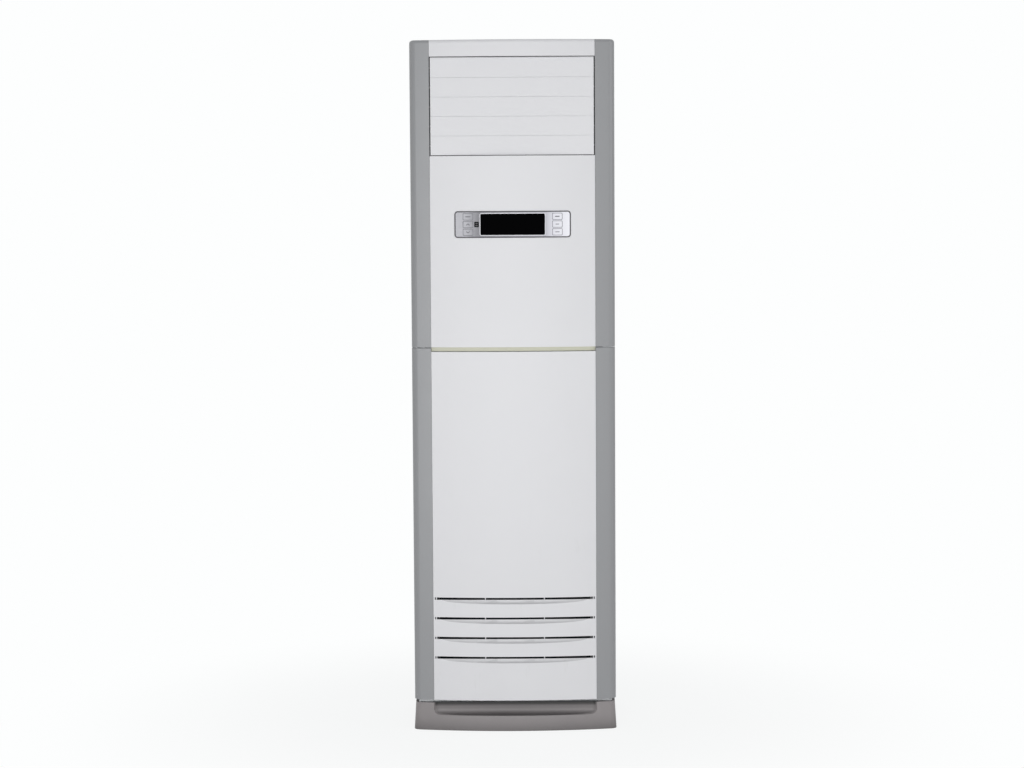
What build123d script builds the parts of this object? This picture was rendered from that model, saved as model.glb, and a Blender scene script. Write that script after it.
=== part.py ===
from math import atan2, cos, hypot, radians, sin, sqrt
import os

from build123d import *

# Floor standing air conditioner. Millimetres, +Z up, the front faces -Y.
# The origin is the middle of the footprint, on the floor.

# ---- driving dimensions -------------------------------------------------
cab_w = 500.0            # width over the corner columns
cab_h = 1700.0           # overall height
depth = 315.0            # overall depth, at the plinth
column_w = 48.0          # corner column, seen from the front
column_depth = 84.0      # how far a column runs back along the side
bow_r = 1360.0           # plan radius of the bowed front
corner_r = 18.0          # outer corner of a column
top_edge_r = 8.0         # rounding along the top edges
skin = 2.8               # wall of the moulded panels
sheet = 1.2              # wall of the folded steel parts
gap = 0.5                # joint between neighbouring skins
seat = 0.3               # gap between a part and what it sits against
running = 0.06           # radial play of a shaft in its bore
loose = 0.4              # radial play of an open link pin

plinth_h = 68.0
plinth_flare = 4.0       # the plinth's foot stands out past its top edge
plinth_foot_out = 1.5    # the foot, past the columns on either side
plinth_bow_r = 1180.0
recess_side = 45.5       # from the side of the cabinet to the finger recess
recess_h = 30.5
recess_d = 24.0
recess_r = 16.0
plinth_gap = 8.0         # shadow gap under the cabinet

seam_z = 951.9           # lower edge of the upper panel
seam_h = 11.2            # height of the seam, down to the lower panel
column_split = 3.0       # dark line between upper and lower columns
strip_recess = 8.0       # seam strip, behind the face of the panels

header_h = 40.5          # strip over the outlet
window_h = 240.7
blade_count = 5
blade_pitch = 47.1
blade_h = 46.4
blade_top_gap = 4.0      # over the top blade
blade_side_gap = 3.0     # beside the blades
blade_t = 5.0
blade_axis_depth = 9.0   # from the blade's face back to its axis
pin_r = 2.5
crank_r = 14.0           # crank radius of the blades

vane_count = 6
vane_edge = 36.6         # from the wall of the duct to the end vane's axis
vane_chord = 36.0
vane_crank_r = 14.0

console_drop = 166.9     # from the outlet down to the middle of the console
console_w = 284.0
console_h = 65.0
display_w = 157.0
display_h = 51.5
button_w = 22.7
button_h = 14.4
button_pitch = 18.9
button_x = 109.0
button_travel = 0.8
receiver_x = -88.0
receiver_w = 10.5
receiver_h = 12.7
plate_proud = 0.8

slot_count = 4
slot_top_z = 332.5       # upper lip of the top slot
slot_pitch = 49.1
slot_h = 6.0
slot_rib = 2.0
slot_rib_x = 72.7        # inner rib across a slot
slot_rib_edge = 8.0      # outer rib, from the side of the white panels
scoop_r = 11.0

fan_z = 350.0
fan_r = 150.0
fan_w = 130.0
shelf_z = 640.0          # between the fan chamber and the coil chamber

# ---- places worked out from them ----------------------------------------
front_y = -depth / 2 + plinth_flare - 0.5     # the face, at its middle
bow_centre_y = front_y + bow_r
rear_y = depth / 2
body_z = plinth_h + plinth_gap
white_half = cab_w / 2 - column_w
panel_half = white_half - gap
column_back_y = front_y + column_depth
lower_top_z = seam_z - seam_h
column_low_top = seam_z - column_split
side_in = cab_w / 2 - sheet
plinth_foot_w = cab_w + 2 * plinth_foot_out
recess_w = cab_w - 2 * recess_side
window_high = cab_h - header_h
window_low = window_high - window_h
console_z = window_low - console_drop
rear_face_y = rear_y - 2.5


def bow_y(x, inset=0.0):
    """Y of the bowed face at x, moved in by inset."""
    return bow_centre_y - sqrt((bow_r - inset) ** 2 - x * x)


def plan(width, y_front, y_back, radius, corner, inset=0.0):
    """Plan outline with a bowed front and two rounded front corners."""
    middle = (y_front + y_back) / 2
    with BuildSketch() as outline:
        with Locations((0, middle)):
            Rectangle(width - 2 * inset, y_back - y_front - 2 * inset)
        with Locations((0, y_front + radius)):
            Circle(radius - inset, mode=Mode.INTERSECT)
        fillet(outline.vertices().group_by(Axis.Y)[0], corner - inset)
    return outline.sketch


def save(builder, name):
    """Label a finished piece and write it as its own file."""
    builder.part.label = name
    export_step(builder.part, f"parts/{name}.step")


def mirrored(builder):
    """The same piece on the other side of the cabinet."""
    with BuildPart() as other:
        mirror(builder.part, about=Plane.YZ)
    return other


os.makedirs("parts", exist_ok=True)
face_plan = plan(cab_w, front_y, rear_y, bow_r, corner_r)
skin_plan = plan(cab_w, front_y, rear_y, bow_r, corner_r, skin)

# blades: their flat faces lie just behind the ends of the bowed face
blade_face_y = bow_y(white_half) + 1.4
blade_axis_y = blade_face_y + blade_axis_depth
blade_top_z = window_high - blade_top_gap
blade_axis_z = [blade_top_z - blade_h / 2 - n * blade_pitch for n in range(blade_count)]
blade_half = white_half - blade_side_gap


# ---- corner columns -------------------------------------------------------
def column(z_low, z_high, return_depth, capped):
    """Right-hand corner column: face, rounded corner, side and inner return."""
    cap = skin if capped else -1.0
    return_back = bow_y(white_half) + return_depth
    with BuildPart() as hollow:
        with BuildSketch(Plane.XY.offset(z_low - 1)):
            add(skin_plan)
            with Locations((cab_w / 2 + white_half + skin, column_back_y)):
                Rectangle(cab_w, 2 * column_depth, mode=Mode.INTERSECT)
        extrude(amount=z_high - z_low + 1 - cap)
        if capped:
            rim = hollow.faces().sort_by(Axis.Z)[-1].edges()
            rim = rim.filter_by(lambda e: e.center().X > white_half + skin + 1)
            fillet(rim, top_edge_r - skin)
    with BuildPart() as part:
        with BuildSketch(Plane.XY.offset(z_low)):
            add(face_plan)
            with Locations((cab_w / 2 + white_half, column_back_y - column_depth)):
                Rectangle(cab_w, 2 * column_depth, mode=Mode.INTERSECT)
        extrude(amount=z_high - z_low)
        if capped:
            rim = part.faces().sort_by(Axis.Z)[-1].edges()
            rim = rim.filter_by(lambda e: e.center().X > white_half + 1)
            fillet(rim.filter_by(lambda e: e.center().Y < column_back_y - 1), top_edge_r)
        add(hollow.part, mode=Mode.SUBTRACT)
        with BuildSketch(Plane.XY.offset(z_low)):
            with Locations((white_half + skin / 2, return_back)):
                Rectangle(skin + 0.02, column_depth, align=(Align.CENTER, Align.MIN))
        extrude(amount=z_high - z_low - max(cap, 0), mode=Mode.SUBTRACT)
    return part


hinge_y = bow_y(white_half) + 9.0
hinge_z = lower_top_z - 6.7

upper_column = column(seam_z, cab_h, 4.5, True)
save(upper_column, "column_upper_right")
save(mirrored(upper_column), "column_upper_left")

with BuildPart() as lower_column:
    add(column(body_z, column_low_top, 14.0, False).part)
    with BuildSketch(Plane.YZ.offset(white_half - 1)):
        with Locations((hinge_y, hinge_z)):
            Circle(pin_r + running)
    extrude(amount=skin + 2, mode=Mode.SUBTRACT)
save(lower_column, "column_lower_right")
save(mirrored(lower_column), "column_lower_left")


# ---- white panels ------------------------------------------------------------
def face_block(half, y_back, z_low, z_high, sketch=face_plan):
    """Slab between the bowed face and a flat plane behind it."""
    with BuildPart() as block:
        with BuildSketch(Plane.XY.offset(z_low)):
            add(sketch)
            with Locations((0, y_back)):
                Rectangle(2 * half, 4 * depth, align=(Align.CENTER, Align.MAX),
                          mode=Mode.INTERSECT)
        extrude(amount=z_high - z_low)
    return block


def panel_shell(y_back, z_low, z_high):
    """Panel with a skin in front and a return along each edge."""
    cavity = face_block(panel_half - skin, y_back + 1, z_low + skin, z_high - skin, skin_plan)
    with BuildPart() as shell:
        add(face_block(panel_half, y_back, z_low, z_high).part)
        add(cavity.part, mode=Mode.SUBTRACT)
    return shell


upper_back_y = front_y + 26.0
reveal_back_y = bow_y(white_half) + 4.9       # returns beside the outlet
header_back_y = front_y + 42.0

with BuildPart() as header_panel:
    add(face_block(panel_half, header_back_y, window_high, cab_h).part)
    top_rim = header_panel.faces().sort_by(Axis.Z)[-1].edges()
    fillet(top_rim.sort_by(lambda e: e.center().Y)[0], top_edge_r)
    add(face_block(panel_half - skin, header_back_y + 1, window_high + skin,
                   cab_h - skin, skin_plan).part, mode=Mode.SUBTRACT)
    with BuildSketch(Plane.XY.offset(window_high)):
        with Locations((0, reveal_back_y)):
            Rectangle(2 * cab_w, depth, align=(Align.CENTER, Align.MIN))
    extrude(amount=cab_h - window_high - skin, mode=Mode.SUBTRACT)
save(header_panel, "header_panel")


# ---- console ---------------------------------------------------------------
def bowed_plate(width, height, radius, outer, inner, x=0.0, z=console_z):
    """Rounded plate that follows the bowed face, between two insets."""
    with BuildPart() as plate:
        with BuildSketch(Plane.XZ.offset(-front_y - 40)):
            with Locations((x, z)):
                RectangleRounded(width, height, radius)
        extrude(amount=60)
        with BuildSketch(Plane.XY.offset(z - height)):
            with Locations((0, bow_centre_y)):
                Circle(bow_r - outer)
                Circle(bow_r - inner, mode=Mode.SUBTRACT)
        extrude(amount=2 * height, mode=Mode.INTERSECT)
    return plate


plate_t = 2.0
pocket_inset = plate_t - plate_proud + seat
console_window_w = 2 * (button_x + button_w / 2) + 9.0
console_window_h = 2 * button_pitch + button_h + 1.2
button_spots = [(side * button_x, console_z + row * button_pitch)
                for side in (-1, 1) for row in (1, 0, -1)]
button_t = 4.0
board_y = front_y + 16.0
board_t = 1.6
post_x = console_w / 2 - 12.0
post_z = 22.0

with BuildPart() as upper_front_panel:
    add(panel_shell(upper_back_y, seam_z, window_low).part)
    with BuildSketch(Plane.XY.offset(window_low - 2 * skin)):
        with Locations((0, reveal_back_y)):
            Rectangle(2 * cab_w, depth, align=(Align.CENTER, Align.MIN))
    extrude(amount=2 * skin, mode=Mode.SUBTRACT)
    with BuildSketch(Plane.XZ.offset(-board_y)):
        with Locations((0, console_z)):
            with GridLocations(2 * post_x, 2 * post_z, 2, 2):
                Circle(4)
    extrude(amount=board_y - bow_y(post_x) - pocket_inset - 0.8)
    add(bowed_plate(console_w + 2 * seat, console_h + 2 * seat, 8, -9, pocket_inset).part,
        mode=Mode.SUBTRACT)
    add(bowed_plate(console_window_w, console_window_h, 2, -9, 12).part, mode=Mode.SUBTRACT)
save(upper_front_panel, "upper_front_panel")

with BuildPart() as console_plate:
    add(bowed_plate(console_w, console_h, 8, -plate_proud, plate_t - plate_proud).part)
    add(bowed_plate(display_w + 2 * seat, display_h + 2 * seat, 3, -9, 9).part,
        mode=Mode.SUBTRACT)
    add(bowed_plate(receiver_w + 2 * seat, receiver_h + 2 * seat, 1.2, -9, 9, receiver_x).part,
        mode=Mode.SUBTRACT)
    for x, z in button_spots:
        add(bowed_plate(button_w + 2 * seat, button_h + 2 * seat, 2.3, -9, 9, x, z).part,
            mode=Mode.SUBTRACT)
save(console_plate, "console_plate")

lens_t = 3.0
with BuildPart() as display_lens:
    add(bowed_plate(display_w, display_h, 2.8, -plate_proud, lens_t - plate_proud).part)
    add(bowed_plate(receiver_w, receiver_h, 1, -plate_proud, lens_t - plate_proud,
                    receiver_x).part)
save(display_lens, "display_lens")

for n, (x, z) in enumerate(button_spots):
    button = bowed_plate(button_w, button_h, 2, -plate_proud, button_t - plate_proud, x, z)
    save(button, f"button_{n + 1}")

module_y = bow_y(display_w / 2) + lens_t - plate_proud + seat
switch_y = bow_y(button_x + 3) + button_t - plate_proud + button_travel + seat
with BuildPart() as control_board:
    with BuildSketch(Plane.XZ.offset(-board_y - board_t)):
        with Locations((0, console_z)):
            Rectangle(console_w - 8, console_h - 6)
    extrude(amount=board_t)
    with BuildSketch(Plane.XZ.offset(-board_y)):
        with Locations((0, console_z)):
            Rectangle(display_w - 8, display_h - 4)
    extrude(amount=board_y - module_y)
    with BuildSketch(Plane.XZ.offset(-board_y)):
        with Locations(*[Location((x, z)) for x, z in button_spots]):
            Circle(2.5)
    extrude(amount=board_y - switch_y)
save(control_board, "control_board")

# ---- seam ----------------------------------------------------------------------
rail_y = front_y + 36.0
rail_d = 20.0
rail_h = 44.0
rail_half = cab_w / 2 - skin - seat
strip_low = lower_top_z + 1.0

with BuildPart() as seam_strip:
    with BuildSketch(Plane.XY.offset(strip_low)):
        with Locations((0, bow_centre_y)):
            Circle(bow_r - strip_recess)
        with Locations((0, rail_y)):
            Rectangle(2 * panel_half, depth, align=(Align.CENTER, Align.MAX),
                      mode=Mode.INTERSECT)
    extrude(amount=seam_z - seat - strip_low)
save(seam_strip, "seam_strip")

with BuildPart() as cross_rail:
    with BuildSketch(Plane.YZ.offset(-rail_half)):
        with Locations((rail_y, strip_low)):
            Rectangle(rail_d, rail_h, align=Align.MIN)
        with Locations((rail_y + sheet, strip_low + sheet)):
            Rectangle(rail_d, rail_h - 2 * sheet, align=Align.MIN, mode=Mode.SUBTRACT)
    extrude(amount=2 * rail_half)
save(cross_rail, "cross_rail")

# ---- lower panel -----------------------------------------------------------------
lower_back_y = front_y + 32.0
web_top = hinge_z - 2.0
ear_top = hinge_z + 4.0
scoop_axis_y = front_y - 4.5
scoop_axis = Axis((0, scoop_axis_y + 2815.0, 0), (0, 0, 1))
slot_rib_out = white_half - slot_rib_edge
slot_ends = (-panel_half + skin, -slot_rib_out, -slot_rib_x, slot_rib_x, slot_rib_out,
             panel_half - skin)


def scoop(slot_low, radius):
    """Half ring under a slot: it dies out towards the panel's sides."""
    with BuildPart() as ring:
        with BuildSketch(Plane.YZ):
            with Locations((scoop_axis_y, slot_low)):
                Circle(radius)
                Rectangle(4 * radius, 2 * radius, align=(Align.CENTER, Align.MAX),
                          mode=Mode.INTERSECT)
        revolve(axis=scoop_axis)
    return ring


slot_lows = [slot_top_z - slot_h - n * slot_pitch for n in range(slot_count)]
with BuildPart() as lower_cavity:
    add(face_block(panel_half - skin, lower_back_y + 1, body_z + skin, web_top - skin,
                   skin_plan).part)
    for slot_low in slot_lows:
        add(scoop(slot_low, scoop_r + skin).part, mode=Mode.SUBTRACT)

with BuildPart() as lower_front_panel:
    add(face_block(panel_half, lower_back_y, body_z, lower_top_z).part)
    add(lower_cavity.part, mode=Mode.SUBTRACT)
    add(face_block(panel_half - skin, lower_back_y + 1, web_top, cab_h, skin_plan).part,
        mode=Mode.SUBTRACT)
    add(face_block(panel_half + 1, lower_back_y + 1, ear_top, cab_h, skin_plan).part,
        mode=Mode.SUBTRACT)
    for slot_low in slot_lows:
        add(scoop(slot_low, scoop_r).part, mode=Mode.SUBTRACT)
        for start, end in zip(slot_ends, slot_ends[1:]):
            with BuildSketch(Plane.XY.offset(slot_low)):
                with Locations(((start + end) / 2, front_y + 8)):
                    Rectangle(end - start - slot_rib, 44)
            extrude(amount=slot_h, mode=Mode.SUBTRACT)
    for side in (-1, 1):
        with BuildSketch(Plane.YZ.offset(side * (panel_half - skin))):
            with Locations((hinge_y, hinge_z)):
                Circle(pin_r)
        extrude(amount=side * (2 * skin + gap - seat))
save(lower_front_panel, "lower_front_panel")

# ---- plinth ------------------------------------------------------------------------
def plinth_block(inset, top_z):
    """Solid plinth, flared towards the floor, moved in by inset."""
    with BuildPart() as block:
        with BuildSketch(Plane.XY):
            add(plan(plinth_foot_w, -depth / 2, rear_y, plinth_bow_r, corner_r, inset))
        with BuildSketch(Plane.XY.offset(top_z)):
            add(plan(plinth_foot_w - 2 * plinth_flare, -depth / 2 + plinth_flare, rear_y,
                     plinth_bow_r, corner_r, inset))
        loft()
    return block


def finger_recess(grow):
    """Cutter of the finger recess: rounded below, open above."""
    with BuildPart() as cutter:
        with BuildSketch(Plane.XZ.offset(depth / 2 - recess_d - grow - plinth_flare)):
            with Locations((0, plinth_h - recess_h - grow)):
                RectangleRounded(recess_w + 2 * grow, 4 * recess_h, recess_r + grow,
                                 align=(Align.CENTER, Align.MIN))
        extrude(amount=2 * recess_d)
        inner_rim = cutter.faces().sort_by(Axis.Y)[-1].edges()
        fillet(inner_rim, recess_r + grow - 1.5)
    return cutter


pan_half = cab_w / 2 - 10.0
pan_front = front_y + 36.0
pan_back = rear_face_y - 4.0
tray_h = 30.0
well_w = cab_w - 120.0
with BuildPart() as plinth_cavity:
    add(plinth_block(skin, plinth_h - skin).part)
    add(finger_recess(skin).part, mode=Mode.SUBTRACT)
with BuildPart() as plinth:
    add(plinth_block(0, plinth_h).part)
    add(finger_recess(0).part, mode=Mode.SUBTRACT)
    add(plinth_cavity.part, mode=Mode.SUBTRACT)
    with BuildSketch(Plane.XY.offset(plinth_h - skin)):
        with Locations((0, pan_back - 20)):
            Rectangle(well_w, pan_back - pan_front - 60, align=(Align.CENTER, Align.MAX))
    extrude(amount=skin, mode=Mode.SUBTRACT)
save(plinth, "plinth")


def tray(half, y_front, y_back, z_low, height, wall):
    """Open tray: a floor with a flange turned up along each edge."""
    with BuildPart() as part:
        with BuildSketch(Plane.XY.offset(z_low)):
            with Locations((0, y_front)):
                Rectangle(2 * half, y_back - y_front, align=(Align.CENTER, Align.MIN))
        extrude(amount=height)
        with BuildSketch(Plane.XY.offset(z_low + wall)):
            with Locations((0, y_front + wall)):
                Rectangle(2 * (half - wall), y_back - y_front - 2 * wall,
                          align=(Align.CENTER, Align.MIN))
        extrude(amount=height, mode=Mode.SUBTRACT)
    return part


save(tray(pan_half, pan_front, pan_back, plinth_h, tray_h, 2 * sheet), "base_plate")

# ---- steel casing -------------------------------------------------------------------
cover_h = 32.0
side_top = cab_h - cover_h - seat
side_front = column_back_y + seat
side_back = rear_face_y - sheet - seat
flange = 34.0
rear_flange = 18.0
screw_count = 5
screw_low = 40.0         # lowest screw, from the foot of the side panel
screw_high = 34.2        # highest screw, from its top
screw_pitch = (side_top - screw_high - body_z - screw_low) / (screw_count - 1)
screw_zs = [body_z + screw_low + n * screw_pitch for n in range(screw_count)]
screw_x = cab_w / 2 - rear_flange / 2 - sheet
screw_r = 1.9
screw_head_r = 4.0
screw_head_h = 2.0
screw_play = 0.15
tie_x = 150.0
tie_z = cab_h - 70.0
tie_r = 3.25
pipe_hole_x = 58.8 - side_in
pipe_hole_z = 175.0
pipe_hole_r = 38.0
hose_x = side_in - 26.8
hose_r = 8.0
hose_exit_z = 125.0
gland_x = 43.8 - side_in
gland_z = 270.0
gland_r = 9.0

with BuildPart() as side_panel:
    with BuildSketch(Plane.XY.offset(body_z)):
        with Locations((cab_w / 2, side_front)):
            Rectangle(flange, side_back - side_front, align=(Align.MAX, Align.MIN))
        with Locations((side_in, side_front + sheet)):
            Rectangle(flange, side_back - side_front - 2 * sheet, align=(Align.MAX, Align.MIN),
                      mode=Mode.SUBTRACT)
        with Locations((cab_w / 2 - rear_flange, side_back - sheet / 2)):
            Rectangle(flange, 2 * sheet, align=(Align.MAX, Align.CENTER), mode=Mode.SUBTRACT)
    extrude(amount=side_top - body_z)
    with BuildSketch(Plane.XY.offset(body_z)):
        with Locations((cab_w / 2, side_front)):
            Rectangle(cab_w / 2 - pan_half - seat, side_back - side_front,
                      align=(Align.MAX, Align.MIN))
    extrude(amount=sheet)
    with BuildSketch(Plane.XY.offset(body_z)):
        with Locations((pan_half + seat, side_front)):
            Rectangle(flange, 2 * sheet, align=(Align.MAX, Align.MIN))
    extrude(amount=plinth_h + tray_h + seat - body_z, mode=Mode.SUBTRACT)
    with BuildSketch(Plane.XZ.offset(-side_back)):
        with Locations(*[(screw_x, z) for z in screw_zs]):
            Circle(screw_r + screw_play)
    extrude(amount=sheet, mode=Mode.SUBTRACT)
save(side_panel, "side_panel_right")
save(mirrored(side_panel), "side_panel_left")

rear_half = cab_w / 2 - seat
with BuildPart() as rear_panel:
    with BuildSketch(Plane.XZ.offset(-rear_face_y)):
        with Locations((0, body_z)):
            Rectangle(2 * rear_half, side_top - body_z, align=(Align.CENTER, Align.MIN))
        with Locations(*[(side * screw_x, z) for side in (-1, 1) for z in screw_zs]):
            Circle(screw_r + screw_play, mode=Mode.SUBTRACT)
        with Locations((-tie_x, tie_z), (tie_x, tie_z)):
            Circle(tie_r, mode=Mode.SUBTRACT)
        with Locations((pipe_hole_x, pipe_hole_z)):
            Circle(pipe_hole_r, mode=Mode.SUBTRACT)
        with Locations((hose_x, hose_exit_z)):
            Circle(hose_r + 2, mode=Mode.SUBTRACT)
        with Locations((gland_x, gland_z)):
            Circle(gland_r, mode=Mode.SUBTRACT)
    extrude(amount=sheet)
save(rear_panel, "rear_panel")

with BuildPart() as cabinet_screws:
    with BuildSketch(Plane.XZ.offset(-rear_face_y)):
        with Locations(*[(side * screw_x, z) for side in (-1, 1) for z in screw_zs]):
            Circle(screw_r)
    extrude(amount=10)
    with BuildSketch(Plane.XZ.offset(-rear_face_y - screw_head_h)):
        with Locations(*[(side * screw_x, z) for side in (-1, 1) for z in screw_zs]):
            Circle(screw_head_r)
    extrude(amount=screw_head_h)
save(cabinet_screws, "cabinet_screws")

with BuildPart() as cord_gland:
    with BuildSketch(Plane.XZ.offset(-rear_face_y - screw_head_h)):
        with Locations((gland_x, gland_z)):
            Circle(gland_r + 4)
            Circle(gland_r - 3, mode=Mode.SUBTRACT)
    extrude(amount=screw_head_h)
    with BuildSketch(Plane.XZ.offset(-rear_face_y)):
        with Locations((gland_x, gland_z)):
            Circle(gland_r - 0.1)
            Circle(gland_r - 3, mode=Mode.SUBTRACT)
    extrude(amount=8)
save(cord_gland, "cord_gland")

tongue_front = header_back_y + seat
with BuildPart() as top_cover:
    with BuildSketch(Plane.XY.offset(cab_h - cover_h)):
        with Locations((0, side_front)):
            Rectangle(cab_w, rear_face_y - side_front, align=(Align.CENTER, Align.MIN))
    extrude(amount=cover_h)
    top_rim = top_cover.faces().sort_by(Axis.Z)[-1].edges()
    fillet(top_rim.sort_by(Axis.Y)[1:], top_edge_r)
    with BuildSketch(Plane.XY.offset(cab_h - cover_h)):
        with Locations((0, side_front + skin)):
            Rectangle(cab_w - 2 * skin, rear_face_y - side_front - 2 * skin,
                      align=(Align.CENTER, Align.MIN))
    extrude(amount=cover_h - top_edge_r, mode=Mode.SUBTRACT)
    with BuildSketch(Plane.XY.offset(cab_h - top_edge_r)):
        with Locations((0, side_front + top_edge_r)):
            Rectangle(cab_w - 2 * top_edge_r, rear_face_y - side_front - 2 * top_edge_r,
                      align=(Align.CENTER, Align.MIN))
    extrude(amount=top_edge_r - skin, mode=Mode.SUBTRACT)
    with BuildSketch(Plane.XY.offset(cab_h - skin)):
        with Locations((0, tongue_front)):
            Rectangle(2 * panel_half, side_front + skin - tongue_front,
                      align=(Align.CENTER, Align.MIN))
    extrude(amount=skin)
save(top_cover, "top_cover")

# ---- outlet: duct, louvre blades and vanes ---------------------------------------------
duct_wall = 1.6
duct_half = white_half - 0.4
vane_pitch = 2 * (duct_half - vane_edge) / (vane_count - 1)
duct_front = reveal_back_y + seat
duct_back = front_y + 124.0
duct_floor = window_low - 2.4
duct_ceiling = window_high + gap
arm_in = white_half + skin + 0.7          # blade cranks, just behind the column's return
arm_t = 3.5
link_t = 3.0
link_in = arm_in + arm_t + 0.4
drive_in = link_in + link_t + 1.4
drive_t = 3.2
plate_in = drive_in + drive_t + 0.4
mount_t = 1.8
crank_pin_r = 2.0
crank_y = blade_axis_y + crank_r
drive_y = blade_axis_y + 26.0
drive_z = blade_axis_z[0] - blade_pitch / 2
motor_r = 14.0
motor_t = 19.0
vane_y = front_y + 70.0
vane_low = duct_floor + 11.6
vane_high = duct_ceiling - 4.0
vane_xs = [(n - (vane_count - 1) / 2) * vane_pitch for n in range(vane_count)]
vane_link_z = duct_floor + 2.6
ear_w = 30.0

with BuildPart() as outlet_duct:
    with BuildSketch(Plane.XZ.offset(-duct_back)):
        with Locations((0, duct_floor - duct_wall)):
            Rectangle(2 * duct_half, duct_ceiling - duct_floor + 2 * duct_wall,
                      align=(Align.CENTER, Align.MIN))
        with Locations((0, duct_floor)):
            Rectangle(2 * (duct_half - duct_wall), duct_ceiling - duct_floor,
                      align=(Align.CENTER, Align.MIN), mode=Mode.SUBTRACT)
    extrude(amount=duct_back - duct_front)
    for side in (-1, 1):
        wall_x = side * (duct_half - duct_wall / 2)
        with BuildSketch(Plane.XY.offset(window_low + seat)):
            with Locations((wall_x, blade_face_y + 0.5)):
                Rectangle(duct_wall, duct_front - blade_face_y, align=(Align.CENTER, Align.MIN))
        extrude(amount=window_high - window_low - 2 * seat)
        with BuildSketch(Plane.XY.offset(duct_floor)):
            with Locations((side * (duct_half - duct_wall + ear_w / 2), column_back_y - 2)):
                Rectangle(ear_w, 2)
        extrude(amount=duct_ceiling - duct_floor)
    with BuildSketch(Plane.YZ.offset(-cab_w / 2)):
        with Locations(*[(blade_axis_y, z) for z in blade_axis_z]):
            Circle(pin_r + running)
    extrude(amount=cab_w, mode=Mode.SUBTRACT)
    with BuildSketch(Plane.XY.offset(duct_floor - duct_wall)):
        with Locations(*[(x, vane_y) for x in vane_xs]):
            Circle(crank_pin_r + running)
    extrude(amount=2 * (duct_ceiling - duct_floor), mode=Mode.SUBTRACT)
    with BuildSketch(Plane.XY.offset(duct_floor - duct_wall)):
        with Locations((0, vane_y)):
            Circle(pin_r + 1)
    extrude(amount=duct_wall, mode=Mode.SUBTRACT)
    with BuildSketch(Plane.XY.offset(drive_z - motor_r - 3)):
        with Locations((-plate_in - mount_t, column_back_y - 10)):
            Rectangle(plate_in + mount_t - duct_half + 0.5, 2, align=Align.MIN)
        with Locations((-plate_in - mount_t, drive_y - motor_r - 3)):
            Rectangle(mount_t, column_back_y - 9 - drive_y + motor_r + 3, align=Align.MIN)
    extrude(amount=2 * motor_r + 6)
    with BuildSketch(Plane.YZ.offset(-plate_in - mount_t)):
        with Locations((drive_y, drive_z)):
            Circle(pin_r + 1)
    extrude(amount=mount_t, mode=Mode.SUBTRACT)
save(outlet_duct, "outlet_duct")

lap = 2.2
tip = 1.2
for n, axis_z in enumerate(blade_axis_z):
    low, high = axis_z - blade_h / 2, axis_z + blade_h / 2
    with BuildPart() as blade:
        with BuildSketch(Plane.YZ.offset(-blade_half)):
            with BuildLine():
                Polyline((blade_face_y + tip, low + 3.7), (blade_face_y + tip, low),
                         (blade_face_y, low), (blade_face_y, high),
                         (blade_face_y + tip + 0.4, high), (blade_face_y + tip + 0.4, high + lap),
                         (blade_face_y + 2 * tip + 0.4, high + lap),
                         (blade_face_y + 2 * tip + 0.4, high - 2))
                ThreePointArc((blade_face_y + 2 * tip + 0.4, high - 2),
                              (blade_face_y + blade_t, axis_z),
                              (blade_face_y + tip, low + 3.7))
            make_face()
        extrude(amount=2 * blade_half)
        for start in (-blade_half, blade_half - 2.5):
            with BuildSketch(Plane.YZ.offset(start)):
                with Locations((blade_face_y + 1, axis_z)):
                    Rectangle(blade_axis_depth - 1, 4 * pin_r, align=(Align.MIN, Align.CENTER))
                with Locations((blade_axis_y, axis_z)):
                    Circle(2 * pin_r)
            extrude(amount=2.5)
        with BuildSketch(Plane.YZ.offset(-arm_in - arm_t)):
            with Locations((blade_axis_y, axis_z)):
                Circle(pin_r)
        extrude(amount=arm_in + arm_t + white_half + 1.5)
        with BuildSketch(Plane.YZ.offset(-arm_in - arm_t)):
            with Locations((blade_axis_y, axis_z)):
                Circle(4.8)
            with Locations((crank_y, axis_z)):
                Circle(3.6)
            with Locations(((blade_axis_y + crank_y) / 2, axis_z)):
                Rectangle(crank_r, 5)
        extrude(amount=arm_t)
        with BuildSketch(Plane.YZ.offset(-link_in - link_t - 0.6)):
            with Locations((crank_y, axis_z)):
                Circle(crank_pin_r)
        extrude(amount=link_t + 2)
    save(blade, f"louvre_blade_{n + 1}")

link_back = drive_y + crank_r + 4.5
lead = blade_count // 2
with BuildPart() as louvre_link:
    with BuildSketch(Plane.YZ.offset(-link_in - link_t)):
        with Locations((crank_y, (blade_axis_z[0] + blade_axis_z[-1]) / 2)):
            RectangleRounded(8, blade_axis_z[0] - blade_axis_z[-1] + 10, 3.9)
        with Locations((crank_y, drive_z)):
            Rectangle(link_back - crank_y, 9, align=(Align.MIN, Align.CENTER))
        with Locations(*[(crank_y, z) for n, z in enumerate(blade_axis_z) if n != lead]):
            Circle(crank_pin_r + loose, mode=Mode.SUBTRACT)
        with Locations((crank_y, blade_axis_z[lead])):
            Circle(crank_pin_r + running, mode=Mode.SUBTRACT)
        with Locations((drive_y + crank_r, drive_z)):
            Circle(crank_pin_r + loose, mode=Mode.SUBTRACT)
    extrude(amount=link_t)
save(louvre_link, "louvre_link")

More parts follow.
